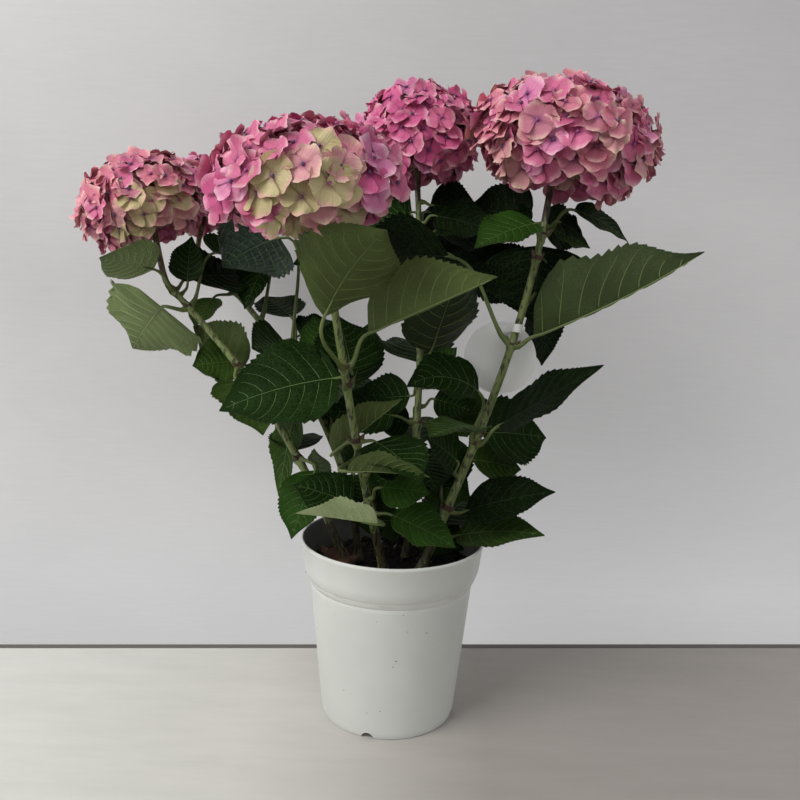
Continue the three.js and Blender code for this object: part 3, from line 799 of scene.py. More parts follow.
class Finish:
    """A material on one Principled shader, with short ways to patterns."""

    def __init__(self, name, colour, roughness, **sockets):
        self.material = bpy.data.materials.new(name)
        self.material.use_nodes = True
        self.tree = self.material.node_tree
        self.shader = self.tree.nodes["Principled BSDF"]
        self.shader.inputs["Base Color"].default_value = linear(colour)
        self.shader.inputs["Roughness"].default_value = roughness
        for socket, value in sockets.items():
            self.shader.inputs[socket.replace("_", " ")].default_value = value
        self.material.diffuse_color = linear(colour)

    def node(self, kind, **settings):
        made = self.tree.nodes.new(kind)
        for key, value in settings.items():
            if hasattr(made, key):
                setattr(made, key, value)
            else:
                made.inputs[key].default_value = value
        return made

    def link(self, out, into):
        self.tree.links.new(out, into)

    def place(self, scale, source="Object"):
        coordinates = self.node("ShaderNodeTexCoord")
        mapping = self.node("ShaderNodeMapping")
        mapping.inputs["Scale"].default_value = scale
        self.link(coordinates.outputs[source], mapping.inputs["Vector"])
        return mapping.outputs["Vector"]

    def ramp(self, factor, *stops):
        ramp = self.node("ShaderNodeValToRGB")
        while len(ramp.color_ramp.elements) < len(stops):
            ramp.color_ramp.elements.new(0.5)
        for element, (position, colour) in zip(ramp.color_ramp.elements, stops):
            element.position = position
            element.color = linear(colour) if isinstance(colour, str) else (*[colour] * 3, 1)
        self.link(factor, ramp.inputs["Fac"])
        return ramp.outputs["Color"]

    def noise(self, vector, scale, detail=4.0, roughness=0.55):
        noise = self.node("ShaderNodeTexNoise", Scale=scale, Detail=detail, Roughness=roughness)
        self.link(vector, noise.inputs["Vector"])
        return noise.outputs["Fac"]

    def mixed(self, factor, a, b, blend="MIX"):
        made = self.node("ShaderNodeMix", data_type="RGBA", blend_type=blend)
        for out, socket in ((factor, 0), (a, 6), (b, 7)):
            if isinstance(out, (int, float)):
                made.inputs[socket].default_value = out
            elif isinstance(out, str):
                made.inputs[socket].default_value = linear(out)
            else:
                self.link(out, made.inputs[socket])
        return made.outputs[2]

    def colour(self, out):
        self.link(out, self.shader.inputs["Base Color"])

    def bump(self, height, strength, distance):
        bump = self.node("ShaderNodeBump", Strength=strength, Distance=distance)
        self.link(height, bump.inputs["Height"])
        self.link(bump.outputs["Normal"], self.shader.inputs["Normal"])

    def cells(self, scale):
        """How far a place on the piece's own map is from the edge of its small cell."""
        cells = self.node("ShaderNodeTexVoronoi", feature="DISTANCE_TO_EDGE", Scale=scale)
        self.link(self.place((1, 1, 1), "UV"), cells.inputs["Vector"])
        return cells.outputs["Distance"]

    def axis(self, letter):
        split = self.node("ShaderNodeSeparateXYZ")
        self.link(self.place((1, 1, 1)), split.inputs["Vector"])
        return split.outputs[letter]

    def across(self, half):
        """0 to 1 from left to right over twice this width."""
        along = self.node("ShaderNodeMapRange")
        along.inputs["From Min"].default_value = -half
        along.inputs["From Max"].default_value = half
        self.link(self.axis("X"), along.inputs["Value"])
        return along.outputs["Result"]

    def clear_from_behind(self):
        """The stage's wall lets a camera behind it see the plant."""
        side = self.node("ShaderNodeNewGeometry")
        both = self.node("ShaderNodeMixShader")
        self.link(side.outputs["Backfacing"], both.inputs["Fac"])
        self.link(self.shader.outputs["BSDF"], both.inputs[1])
        self.link(self.node("ShaderNodeBsdfTransparent").outputs["BSDF"], both.inputs[2])
        self.link(both.outputs["Shader"], self.tree.nodes["Material Output"].inputs["Surface"])


def mottled(name, colour, roughness, scale, detail, dark, light):
    """A finish of two tones in soft patches."""
    f = Finish(name, colour, roughness)
    f.colour(f.ramp(f.noise(f.place((1, 1, 1)), scale, detail), dark, light))
    return f.material


def leaf_top(name, dark, light, roughness):
    glossy = roughness < 0.4
    f = Finish(name, dark, roughness, Specular_IOR_Level=0.25 if glossy else 0.045)
    spots = f.noise(f.place((1, 1, 1)), 38.0, 3.0)
    body = f.ramp(spots, (0.32, dark), (0.7, light))
    cells = f.cells(30.0)
    f.colour(f.mixed(f.ramp(cells, (0.0, 0.16), (0.1, 0.0)), body, "#4a6330"))
    if glossy:
        f.bump(f.noise(f.place((1, 2, 1), "UV"), 14.0, 2.0), 0.6, 0.0035)
    else:
        f.bump(f.ramp(cells, (0.0, 0.0), (0.16, 1.0)), 0.4, 0.0006)
    return f.material


def leaf_under(name, dark, light):
    f = Finish(name, dark, 0.62, Specular_IOR_Level=0.3)
    spots = f.noise(f.place((1, 1, 1)), 30.0, 3.0)
    f.colour(f.ramp(spots, (0.3, dark), (0.72, light)))
    f.bump(f.ramp(f.cells(36.0), (0.0, 1.0), (0.14, 0.0)), 0.6, 0.0006)
    return f.material


# Dark and light tone and roughness of the upper face, then the tones of the lower face
# The 'shade' tone is painted shade: darker greens for leaves that lie in the heads' shadow.
TOPS = {
    "shade": ("#071105", "#0c1a08", 0.45),
    "deep": ("#0f2107", "#182e0d", 0.5),
    "mid": ("#1e370f", "#2f4e19", 0.5),
    "blue": ("#0b1a12", "#13271b", 0.3),
    "olive": ("#22350f", "#33491a", 0.48),
    "lime": ("#33481c", "#466026", 0.5),
    "pale": ("#33481f", "#48602f", 0.5),
    "bright": ("#3a5026", "#4f6a35", 0.45),
}
# The lower faces of 'shade' and 'deep' are painted shade, darkened as undersides that lie in
# shadow.
UNDERS = {
    "shade": ("#11180a", "#18220e"),
    "deep": ("#202d11", "#2b3917"),
    "mid": ("#434f23", "#4f5e2a"),
    "blue": ("#2f3f25", "#3b4e2e"),
    "olive": ("#2b3817", "#38471e"),
    "lime": ("#39471e", "#495a26"),
    "pale": ("#8d9b6c", "#a8b487"),
    "bright": ("#5d6d40", "#708150"),
}


# Name of each group of canes, its canes and the seed of its leaves
LEAF_GROUPS = (("left", "ab", 71), ("front", "cd", 98405807), ("right", "e", 3896931447))


def make_leaves(leaves):
    tones = list(TOPS)
    materials = [leaf_top("leaf_top_" + t, *TOPS[t]) for t in tones]
    materials += [leaf_under("leaf_under_" + t, *UNDERS[t]) for t in tones]
    veins_under, veins_top, veins_light, veins_painted_shade = range(4)
    vein_materials = [
        Finish("vein_under", "#6c7b45", 0.6).material,
        Finish("vein_top", "#67854a", 0.5).material,
        Finish("vein_light", "#93a26c", 0.6).material,
        Finish("vein_painted_shade", "#24361a", 0.5).material,
    ]
    stalk = mottled("leaf_stalk", "#5c6a36", 0.5, 60.0, 2.0, (0.3, "#4c5b2c"), (0.7, "#6a7842"))
    stalks = Pile()
    for group, names, seed in LEAF_GROUPS:
        random = dice(seed)
        pile, veins = Pile(), Pile()
        for leaf in leaves:
            if leaf.cane not in names:
                continue
            tone = DEALT_TONES[int(4 * random())]
            if leaf.pair in LEAF_TONES:
                tone = LEAF_TONES[leaf.pair][leaf.rank]
            k = tones.index(tone)
            blade = Blade(leaf, random)
            shift = np.array([5 * random(), 5 * random()])
            blade_mesh(pile, blade, k, k + len(tones), shift)
            above, below = veins_top, veins_under
            # Leaves in painted shade get veins in painted shade too.
            if tone == "shade":
                above = below = veins_painted_shade
            elif tone in ("bright", "pale"):
                below = veins_light
            vein_mesh(veins, blade, True, below)
            vein_mesh(veins, blade, False, above)
            stalk_mesh(stalks, leaf, blade)
        piece = pile.build("leaf_blades_" + group, materials, 50)
        dress(piece, "leaf", *["leaves_" + pair[0] for pair in PAIRS if pair[1] in names])
        dress(veins.build("leaf_veins_" + group, vein_materials), "leaf")
    dress(stalks.build("leaf_stalks", [stalk], 60), "stem")


def dress(piece, slot, *nodes):
    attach(piece, "root")
    if nodes:
        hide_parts(*nodes)


# Canes
def cane_finish(name, dark, light, speck):
    f = Finish(name, light, 0.5)
    streaks = f.noise(f.place((1, 1, 0.16)), 220.0, 3.0)
    body = f.ramp(streaks, (0.35, dark), (0.65, light))
    specks = f.noise(f.place((1, 1, 0.35)), 420.0, 1.5)
    mask = f.ramp(specks, (0.54, 0.0), (0.62, 0.9))
    flecks = f.ramp(f.noise(f.place((1, 1, 0.2)), 300.0, 2.0), (0.58, 0.0), (0.66, 0.5))
    f.colour(f.mixed(mask, f.mixed(flecks, body, "#98a27a"), speck))
    f.bump(specks, 0.5, 0.0006)
    return f.material


def make_canes(canes):
    green, old, node, top = range(4)
    materials = [
        cane_finish("cane_green", "#5f6b38", "#7c8a50", "#2c2b19"),
        cane_finish("cane_old", "#433c24", "#575233", "#1f1810"),
        Finish("cane_node", "#3c2318", 0.6).material,
        cane_finish("cane_top", "#35261b", "#4e3c2b", "#1d1410"),
    ]
    pile = Pile()
    for name, cane in canes.items():
        params = [cane.param(z) for z in cane.nodes]
        stops = sorted(set(np.linspace(0, 1, CANE_STATIONS)) | set(params))
        span = cane.curve.length()
        radii = []
        for t in stops:
            r = cane.radius(t) * (1 + 0.5 * max(0, 1 - t / 0.03))
            for p in params:
                r += NODE_BULGE * math.exp(-(((t - p) * span / NODE_SPREAD) ** 2))
            radii.append(r)
        points, faces = tube(cane.curve.at(np.array(stops)), radii, CANE_SIDES)
        slots = []
        for f in faces:
            t = stops[min(f[0] // CANE_SIDES, len(stops) - 1)]
            if min([abs(t - p) * span for p in params]) < NODE_RING:
                slots.append(node)
            elif t * span < OLD_WOOD:
                slots.append(old)
            else:
                slots.append(top if cane.curve.at(t)[2] > BROWN_FROM[name] else green)
        pile.add(points, faces, slots)
    dress(pile.build("canes", materials, 60), "stem", *["cane_" + name for name in canes])


def make_buds(canes):
    """Two resting buds at each pair's node."""
    buds = Pile()
    random = dice(5)
    for cane in canes.values():
        for z in cane.nodes:
            t = cane.param(z)
            centre = cane.curve.at(t)
            up = cane.curve.way(t)
            first = 360 * random()
            for k in range(2):
                out = heading(first + 180 * k, 0)
                out = unit(out - up * out.dot(up))
                start = centre + out * cane.radius(t) * 0.8
                way = unit(up * 1.2 + out)
                path = [start + way * reach for reach in (0, 2.5, 5, 7.5)]
                buds.add(*tube(path, [1.6, 2.0, 1.3, 0.25], 7))
    dress(buds.build("buds", [Finish("bud", "#4f4427", 0.5).material], 60), "stem")


# Flower heads
SEPAL_ROWS = np.linspace(-1, 1, 6)
SEPAL_COLUMNS = np.linspace(-1, 1, 7)


def sepal_faces():
    """Faces of a thin closed sepal: two sheets of six by seven points that share their edge."""
    rows, columns = len(SEPAL_ROWS), len(SEPAL_COLUMNS)
    lower = {}
    count = rows * columns
    for i in range(rows):
        for j in range(columns):
            if i in (0, rows - 1) or j in (0, columns - 1):
                lower[i, j] = i * columns + j
            else:
                lower[i, j] = count
                count += 1
    faces = []
    for i in range(rows - 1):
        for j in range(columns - 1):
            a = i * columns + j
            faces.append((a, a + columns, a + columns + 1, a + 1))
            faces.append((lower[i, j], lower[i, j + 1], lower[i + 1, j + 1], lower[i + 1, j]))
    return faces


SEPAL_FACES = sepal_faces()


def sepal(centre, n, away, length, width, cup, tilt, ruffle, phase):
    """A broad rounded sepal that narrows to a claw at the floret's centre."""
    sideways = np.cross(n, away)
    a, b = np.meshgrid(SEPAL_ROWS, SEPAL_COLUMNS, indexing="ij")
    c = b * np.sqrt(1 - a**2 / 2)
    r = 0.5 + 0.5 * a * np.sqrt(1 - b**2 / 2)
    scallop = 0.05 * np.sin(phase * 3 + 5.2 * c) + 0.07 * (1 - abs(c)) ** 2
    x = length * (0.03 + 0.97 * r * (1 + scallop * r))
    y = width / 2 * c * (0.3 + 0.7 * smooth(0, 0.5, r)) * (1 + 0.04 * np.sin(phase + 6 * r))
    z = cup * r**1.7 + ruffle * (r**1.5 + c**2) * np.sin(phase + 4.4 * c + 2.2 * r)
    z += 0.6 * ruffle * r**3 * np.sin(2 * phase + 8.5 * c)
    z = length * (z - 0.08 * (1 - c**2) * r) + y * tilt
    points = centre + x[..., None] * away + y[..., None] * sideways + z[..., None] * n
    inner = points[1:-1, 1:-1] - n * SEPAL_THICK
    points = np.concatenate([points.reshape(-1, 3), inner.reshape(-1, 3)])
    value = np.concatenate([r.ravel(), r[1:-1, 1:-1].ravel()])
    uv = np.column_stack([c.ravel(), r.ravel()])
    uv = np.concatenate([uv, np.column_stack([c[1:-1, 1:-1].ravel(), r[1:-1, 1:-1].ravel()])])
    return points, value, uv


def sepal_finish(name, heart, body, edge):
    f = Finish(name, body, 0.55, Sheen_Weight=0.15)
    reach = f.node("ShaderNodeAttribute", attribute_name="reach")
    tint = f.ramp(reach.outputs["Fac"], (0.06, heart), (0.32, body), (0.68, body), (0.97, edge))
    blotch = f.ramp(f.noise(f.place((1, 1, 1)), 75.0, 3.0), (0.3, 0.84), (0.65, 1.0))
    streaks = f.noise(f.place((5, 0.7, 1), "UV"), 2.2, 3.0)
    veined = f.mixed(1.0, tint, f.ramp(streaks, (0.36, 0.86), (0.58, 1.0)), "MULTIPLY")
    f.colour(f.mixed(1.0, veined, blotch, "MULTIPLY"))
    f.bump(streaks, 0.6, 0.0009)
    return f.material


SEPALS = {
    "rose": ("#9c2f6e", "#da6c96", "#f0b4c0"),
    "magenta": ("#92246a", "#d5568e", "#ef9cba"),
    "salmon": ("#a5406e", "#de7e94", "#f2bcb6"),
    "dusty": ("#94467a", "#c47388", "#e2b2a8"),
    "lilac": ("#a23a86", "#df80ac", "#f6c0d4"),
    "blush": ("#ad5778", "#df9ba0", "#eecbb4"),
    "cream": ("#a9806e", "#cabb89", "#e2b0a2"),
}

# The colours that the florets of each head draw from
HEAD_COLOURS = {
    "a": "rose rose salmon salmon dusty dusty rose salmon",
    "b": "magenta magenta rose magenta lilac rose",
    "c": "rose rose magenta lilac magenta rose dusty",
    "d": "magenta magenta rose magenta magenta lilac",
    "e": "rose salmon salmon dusty rose blush rose rose lilac salmon",
}

# Where a head has faded to cream: the direction from its centre, and how near to that a floret is
PATCHES = {
    "a": (vec(0.5, -0.75, -0.45), 0.72),
    "c": (vec(0.28, -0.86, -0.32), 0.81),
}


def make_heads(heads, canes):
    """Florets on a spiral in an outer and an inner layer, each on a stalk from the head's fork."""
    names = list(SEPALS)
    materials = [sepal_finish("sepal_" + n, *SEPALS[n]) for n in names]
    eyes = Pile()
    stalks = Pile()
    for index, head in enumerate(heads):
        random = dice(400 + index)
        pile = Pile()
        cane = canes[head.name]
        tip = cane.curve.at(1.0)
        way = cane.curve.way(1.0)
        fork = head.centre - head.axis * 0.62 * head.down
        peduncle = Bezier(tip, tip + way * 8, fork - head.axis * 8, fork)
        r = cane.radius(1)
        stalks.add(*tube(peduncle.at(np.linspace(0, 1, 8)), np.linspace(r, r * 1.05, 8), 12), 1)
        colours = HEAD_COLOURS[head.name].split()
        inner = int(head.count * INNER_SHARE)
        for i in range(head.count + inner):
            outer = i < head.count
            k, total = (i, head.count) if outer else (i - head.count, inner)
            theta = math.acos(1 - (1 - math.cos(LOWEST_FLORET)) * (k + 0.5) / total)
            theta = max(0.05, theta + 0.1 * (random() - 0.5))
            phi = k * GOLDEN + 0.3 * random() + (0 if outer else 1.1)
            share = 0.85 + 0.12 * random() if outer else 0.74 + 0.08 * random()
            p = head.at(theta, phi, share)
            n = unit(p - (head.centre - head.axis * 0.35 * head.r))
            jitter = vec(random() - 0.5, random() - 0.5, random() - 0.5)
            n = unit(n + jitter * FACING_JITTER)
            floret(pile, eyes, head, p, n, colours, names, random)
            start = fork + unit(p - fork) * 4
            bend = p - n * 13
            path = Bezier(start, mix(start, bend, 0.6), bend, p - n * 0.6)
            stalks.add(*tube(path.at(np.linspace(0, 1, 6)), [0.95, 0.8, 0.7, 0.6, 0.55, 0.5], 4))
        piece = pile.build("flower_head_" + head.name + "_sepals", materials, 70)
        dress(piece, "flower", "flower_head_" + head.name)
    eye = Finish("flower_eye", "#66526e", 0.5).material
    eye_pink = Finish("flower_eye_pink", "#a8588c", 0.5).material
    dress(eyes.build("flower_eyes", [eye, eye_pink]), "flower")
    pale = Finish("flower_stalk", "#8f7a58", 0.6).material
    dark = cane_finish("flower_stem", "#4a3a28", "#6a5a38", "#2a1c14")
    dress(stalks.build("flower_stalks", [pale, dark], 60), "stem")


def floret(pile, eyes, head, centre, n, colours, names, random):
    e1 = unit(np.cross(n, vec(0.31, 0.52, 0.79)))
    e2 = np.cross(n, e1)
    turn = 6.3 * random()
    size = head.size * (0.88 + 0.24 * random())
    cup = -0.12 + 0.42 * random()
    ruffle = 0.06 + 0.08 * random()
    colour = colours[int(random() * len(colours))]
    patch = PATCHES.get(head.name)
    if patch:
        nearness = unit(centre - head.centre).dot(unit(patch[0]))
        if nearness > patch[1] + 0.2 * (random() - 0.4):
            colour = "cream" if random() < CREAM_SHARE else "blush"
    count = 5 if random() < 0.06 else 4
    for k in range(count):
        a = turn + 2 * math.pi * k / count + 0.12 * (random() - 0.5)
        away = e1 * math.cos(a) + e2 * math.sin(a)
        length = size / 2 * (0.9 + 0.2 * random())
        width = length * (1.26 + 0.2 * random()) * 4 / count
        phase = 6.3 * random()
        points, value, uv = sepal(centre, n, away, length, width, cup, 0.14, ruffle, phase)
        uv = uv + np.array([3 * (len(pile.faces) % 97), 0])
        pile.add(points, SEPAL_FACES, names.index(colour), uv, value)
    knob = [centre + n * rise for rise in (-0.5, 0.5, 1.5, 2.0)]
    eyes.add(*tube(knob, [0.6, 1.25, 1.1, 0.2], 6), 0 if random() < 0.55 else 1)


# Pot
def outer_at(z):
    if z < NECK_Z:
        return mix(POT_BASE_R, NECK_R, z / NECK_Z)
    return mix(COLLAR_R, POT_TOP_R, (z - STEP_Z) / COLLAR_H)


def turned_shell(name, sides, start_r, start_z, profile):
    """A shell turned about Z: a disc whose rim is extruded from ring to ring and closed."""
    bpy.ops.object.select_all(action="DESELECT")
    bpy.ops.mesh.primitive_circle_add(vertices=sides, radius=start_r * MM, fill_type="TRIFAN")
    shell = bpy.context.object
    shell.name = name
    shell.data.transform(Matrix.Translation((0, 0, start_z * MM)))
    bpy.ops.object.mode_set(mode="EDIT")
    bpy.ops.mesh.select_all(action="DESELECT")
    bpy.ops.mesh.select_mode(type="EDGE")
    bpy.ops.mesh.select_non_manifold()
    old_r, old_z = start_r, start_z
    for r, z in profile:
        rise = (0, 0, (z - old_z) * MM)
        bpy.ops.mesh.extrude_region_move(TRANSFORM_OT_translate={"value": rise})
        share = r / old_r
        bpy.ops.transform.resize(value=(share, share, 1), center_override=(0, 0, z * MM))
        old_r, old_z = r, z
    bpy.ops.mesh.edge_face_add()
    bpy.ops.mesh.select_all(action="SELECT")
    bpy.ops.mesh.normals_make_consistent(inside=False)
    bpy.ops.object.mode_set(mode="OBJECT")
    return shell


def bore(piece, sides, radius, depth, x, y, z, rotation=(0, 0, 0)):
    """Takes the shape of a round bar out of a piece."""
    bpy.ops.mesh.primitive_cylinder_add(
        vertices=sides,
        radius=radius * MM,
        depth=depth * MM,
        location=(x * MM, y * MM, z * MM),
        rotation=rotation,
    )
    cutter = bpy.context.object
    modifier = piece.modifiers.new("cut", "BOOLEAN")
    modifier.operation = "DIFFERENCE"
    modifier.solver = "EXACT"
    modifier.object = cutter
    bpy.context.view_layer.objects.active = piece
    bpy.ops.object.modifier_apply(modifier=modifier.name)
    bpy.data.objects.remove(cutter)


def pot_profile():
    """Radius and height of each ring, from the disc under the floor out, up, in and back down."""
    top = FLOOR_Z + FLOOR_T
    foot = [
        (DISC_R + 2, FLOOR_Z),
        (POT_BASE_R - FOOT_W - 1, FLOOR_Z),
        (POT_BASE_R - FOOT_W, 0.0),
        (POT_BASE_R - 1.2, 0.0),
        (POT_BASE_R - 0.5, 0.3),
    ]
    wall = [(outer_at(z), z) for z in (1.4, 6, 60, STEP_Z - 13)]
    ledge = [
        (67.0, STEP_Z - 9.8),
        (66.9, STEP_Z - 9.3),
        (67.4, STEP_Z - 8.8),
        (68.4, STEP_Z - 6.0),
        (69.1, STEP_Z - 4.6),
        (69.0, STEP_Z - 4.2),
        (69.6, STEP_Z - 3.7),
        (70.8, STEP_Z - 0.6),
        (71.8, STEP_Z + 2.4),
        (72.5, STEP_Z + 5.5),
    ]
    lip = [
        (outer_at(POT_H - 3.6), POT_H - 3.6),
        (POT_TOP_R + 0.3, POT_H - 2.4),
        (POT_TOP_R + 0.3, POT_H - 0.8),
        (POT_TOP_R - 0.1, POT_H - 0.15),
        (POT_TOP_R - 0.6, POT_H),
        (POT_TOP_R - 1.2, POT_H - 0.1),
        (POT_TOP_R - 1.5, POT_H - 0.6),
        (POT_TOP_R - 2.2, POT_H - 3.0),
    ]
    inside = [
        (COLLAR_R - WALL, STEP_Z + 1),
        (NECK_R - WALL, NECK_Z),
        (outer_at(top) - WALL, top),
        (DISC_R + 2, top),
        (DISC_R - 1, FLOOR_T),
    ]
    return foot + wall + ledge + lip + inside


def make_pot():
    pot = turned_shell("pot_shell", 96, DISC_R, 0, pot_profile())
    for i in range(HOLES):
        a = rad(30 + 360 / HOLES * i)
        bore(pot, 24, HOLE_R, 9, HOLES_AT_R * math.cos(a), HOLES_AT_R * math.sin(a), 5)
    for i in range(NOTCHES):
        a = rad(FIRST_NOTCH + 360 / NOTCHES * i)
        x, y = POT_BASE_R * math.cos(a), POT_BASE_R * math.sin(a)
        bore(pot, 32, NOTCH_R, 14, x, y, -0.6, (0, math.pi / 2, a))
    pot.data.materials.append(pot_outside())
    pot.data.materials.append(
        mottled("pot_grey_lining", "#5f605e", 0.55, 70.0, 4.0, (0.35, "#555653"), (0.7, "#6b6c6a"))
    )
    for face in pot.data.polygons:
        x, y, z = face.center / MM
        inwards = x * face.normal.x + y * face.normal.y < -0.3 * math.hypot(x, y)
        on_floor = face.normal.z > 0.5 and math.hypot(x, y) < 60
        face.material_index = 1 if z > FLOOR_T - 0.1 and (inwards or on_floor) else 0
    smooth_faces(pot, 35)
    dress(pot, "pot", "pot")


def make_specks():
    """Specks of soil that stick to the white wall."""
    specks = Pile()
    random = dice(17)
    fixed = [(276, 71, 0.75), (274, 66, 0.6), (297, 93, 0.7)]
    fixed += [(283, 96, 0.4), (262, 104, 0.4), (255, 23, 0.5)]
    loose = []
    for _ in range(LOOSE_SPECKS):
        loose.append((360 * random(), 8 + 135 * random(), 0.25 + 0.3 * random()))
    for azimuth, z, size in fixed + loose:
        out = heading(azimuth, 0)
        side = vec(-out[1], out[0], 0)
        wall = vec(0, 0, z) + out * (outer_at(z) - 0.1)
        path = [wall + side * size * reach for reach in (-1, -0.4, 0.5, 1)]
        specks.add(*tube(path, [size * r for r in (0.3, 0.7, 0.6, 0.2)], 5))
    dress(specks.build("pot_specks", [Finish("speck", "#57534b", 0.9).material], 40), "pot")


def pot_outside():
    f = Finish("pot_white", "#e4e6e2", 0.42, Specular_IOR_Level=0.4)
    at = f.place((1, 1, 1))
    tone = f.ramp(f.noise(at, 14.0, 3.0), (0.3, "#d3d6d1"), (0.7, "#dddfda"))
    # Painted light: the band under the collar is painted lighter to lift the shade that falls under
    # the ledge, and darker marks lie along the same band.
    band = f.ramp(f.axis("Z"), (0.112, 0.0), (0.1145, 1.0), (0.1195, 1.0), (0.122, 0.0))
    band_mark_noise = f.ramp(f.noise(f.place((1, 1, 3)), 60.0, 5.0, 0.7), (0.5, 0.0), (0.8, 0.5))
    darker_band_marks = f.mixed(1.0, band, band_mark_noise, "MULTIPLY")
    ledge = f.mixed(f.mixed(1.0, band, "#999999", "MULTIPLY"), tone, "#f4f5f1")
    f.colour(f.mixed(darker_band_marks, ledge, "#8f8d80"))
    gloss = f.ramp(f.noise(at, 40.0, 3.0), (0.3, 0.36), (0.7, 0.5))
    f.link(gloss, f.shader.inputs["Roughness"])
    f.bump(f.noise(f.place((1, 1, 0.02)), 45.0, 2.0), 0.12, 0.0008)
    return f.material


# Soil
def make_soil():
    profile = [
        (DISC_R + 1.4, 7),
        (53.5, 7),
        (64.8, STEP_Z - 6.5),
        (68.4, SOIL_Z - 2.6),
        (67.2, SOIL_Z - 1.6),
        (64, SOIL_Z - 0.8),
        (60, SOIL_Z - 0.3),
        (55, SOIL_Z - 0.1),
    ]
    profile += [(r, SOIL_Z) for r in (49, 43, 37, 31, 25, 19, 13, 7, 2)]
    soil = turned_shell("soil_bed", 72, DISC_R * 0.9, SOIL_FOOT_Z, profile)
    for vertex in soil.data.vertices:
        x, y, z = vertex.co / MM
        if z > SOIL_Z - 3:
            bump = math.sin(0.31 * x + 1.3) * math.sin(0.27 * y) + 0.6 * math.sin(0.9 * x - 0.7 * y)
            vertex.co.z += 0.7 * MM * bump * (1 if math.hypot(x, y) > 8 else 0.4)
    f = Finish("soil_peat", "#1c1612", 0.95, Specular_IOR_Level=0.2)
    grains = f.noise(f.place((1, 1, 1)), 260.0, 6.0, 0.75)
    f.colour(f.ramp(grains, (0.32, "#060504"), (0.58, "#120e0b"), (0.8, "#241b14")))
    f.bump(grains, 0.9, 0.002)
    soil.data.materials.append(f.material)
    smooth_faces(soil, 40)
    dress(soil, "soil", "soil")


def make_chips():
    """Crumbs of bark and peat and a few grains of perlite on the bed."""
    chips = Pile()
    random = dice(93)
    for _ in range(SOIL_CHIPS):
        r = 67 * math.sqrt(random())
        a = 6.283 * random()
        size = 2.2 + 5.5 * random() ** 3
        sunk = 1.4 if r > 62 else 0.4
        centre = vec(r * math.cos(a), r * math.sin(a), SOIL_Z + 0.1 * size - sunk)
        way = heading(360 * random(), 50 * (random() - 0.5))
        thick = size * (0.35 + 0.4 * random())
        path = [centre + way * size * reach for reach in (-0.5, -0.2, 0.25, 0.5)]
        points, faces = tube(path, [thick * r for r in (0.25, 0.5, 0.45, 0.2)], 5)
        knocks = np.array([[random() - 0.5 for _ in range(3)] for _ in points])
        chips.add(points + knocks * 0.16 * size, faces, int(random() * 4.15))
    tones = [
        Finish("bark_dark", "#120d0a", 0.9).material,
        Finish("bark_brown", "#211711", 0.9).material,
        Finish("bark_red", "#2e1e16", 0.85).material,
        Finish("peat_crumb", "#0c0907", 0.95).material,
        Finish("perlite", "#7d786e", 0.9).material,
    ]
    dress(chips.build("soil_chips", tones, 30), "soil")


def make_litter():
    """Dry fallen leaves on the bed: place, size and turn."""
    litter = Pile()
    for x, y, z, size, turn in (
        (-47, -16, 132, 34, 20),
        (-36, -30, 130, 26, 75),
        (-52, 4, 130, 24, 140),
        (40, -28, 129, 18, 200),
        (12, -50, 128.5, 16, 10),
    ):
        way = heading(turn, 8)
        n = unit(np.cross(way, np.cross(vec(0.25, -0.45, 1), way)))
        base = vec(x, y, z) - way * size / 2
        points, value, uv = sepal(base, n, way, size, size * 0.7, 0.12, 0.15, 0.12, turn)
        litter.add(points, SEPAL_FACES, 0, uv, value)
    dry = mottled("dried_leaf", "#4a3021", 0.85, 90.0, 4.0, (0.3, "#2c1b12"), (0.7, "#5a3a28"))
    dress(litter.build("soil_litter", [dry], 60), "leaf")


# Tag
def make_tag(canes):
    white = mottled("tag_white", "#f1f1ee", 0.38, 24.0, 2.0, (0.3, "#ececea"), (0.7, "#f4f4f2"))
    bpy.ops.object.select_all(action="DESELECT")
    bpy.ops.mesh.primitive_cylinder_add(vertices=96, radius=TAG_R * MM, depth=TAG_THICK * MM)
    disc = bpy.context.object
    disc.name = "hang_tag"
    bpy.ops.object.mode_set(mode="EDIT")
    bpy.ops.mesh.select_all(action="SELECT")
    bpy.ops.mesh.bevel(offset=0.2 * MM, segments=2)
    bpy.ops.object.mode_set(mode="OBJECT")
    hung = Matrix.Translation(Vector(TAG_CENTRE) * MM) @ Matrix.Rotation(rad(TAG_TURN), 4, "X")
    disc.data.transform(hung)
    disc.data.materials.append(white)
    ribbon = Pile()
    ribbon_mesh(ribbon, *tag_strip(canes["e"]), 3.2, 0.7)
    strip = ribbon.build("tag_strip", [white], 40)
    smooth_faces(disc, 40)
    strip.select_set(True)
    bpy.ops.object.join()
    dress(disc, "tag", "tag")


def tag_strip(cane):
    """The strip's path, once round the cane and down to the disc, and the way of its width."""
    t = cane.param(TAG_STRIP_Z)
    centre = cane.curve.at(t)
    up = cane.curve.way(t)
    inner = cane.radius(t) + 0.5
    out = unit(vec(0, 1, 0) - up * up[1])
    left = np.cross(up, out)
    path = []
    for k in reversed(range(25)):
        a = rad(-14.4 * k + 10)
        around = (out * math.cos(a) + left * math.sin(a)) * inner
        path.append(centre + around + up * (1.5 - 0.15 * k))
    path.append(mix(path[-1], vec(85, 11.4, 323), 0.5))
    path += [vec(85, 11.6, 322), vec(84, 11.0, 316)]
    return np.array(path), up


def ribbon_mesh(pile, path, up, half, thick):
    way = ways_along(path)
    wide = np.array([unit(up - w * up.dot(w)) for w in way])
    out = np.cross(way, wide)
    corners = ((-1, -1), (1, -1), (1, 1), (-1, 1))
    rings = [path + wide * half * side + out * thick / 2 * over for side, over in corners]
    last = (len(path) - 1) * 4
    ends = [(3, 2, 1, 0), tuple(last + i for i in range(4))]
    pile.add(np.stack(rings, axis=1).reshape(-1, 3), ends + ring_faces(len(path), 4))


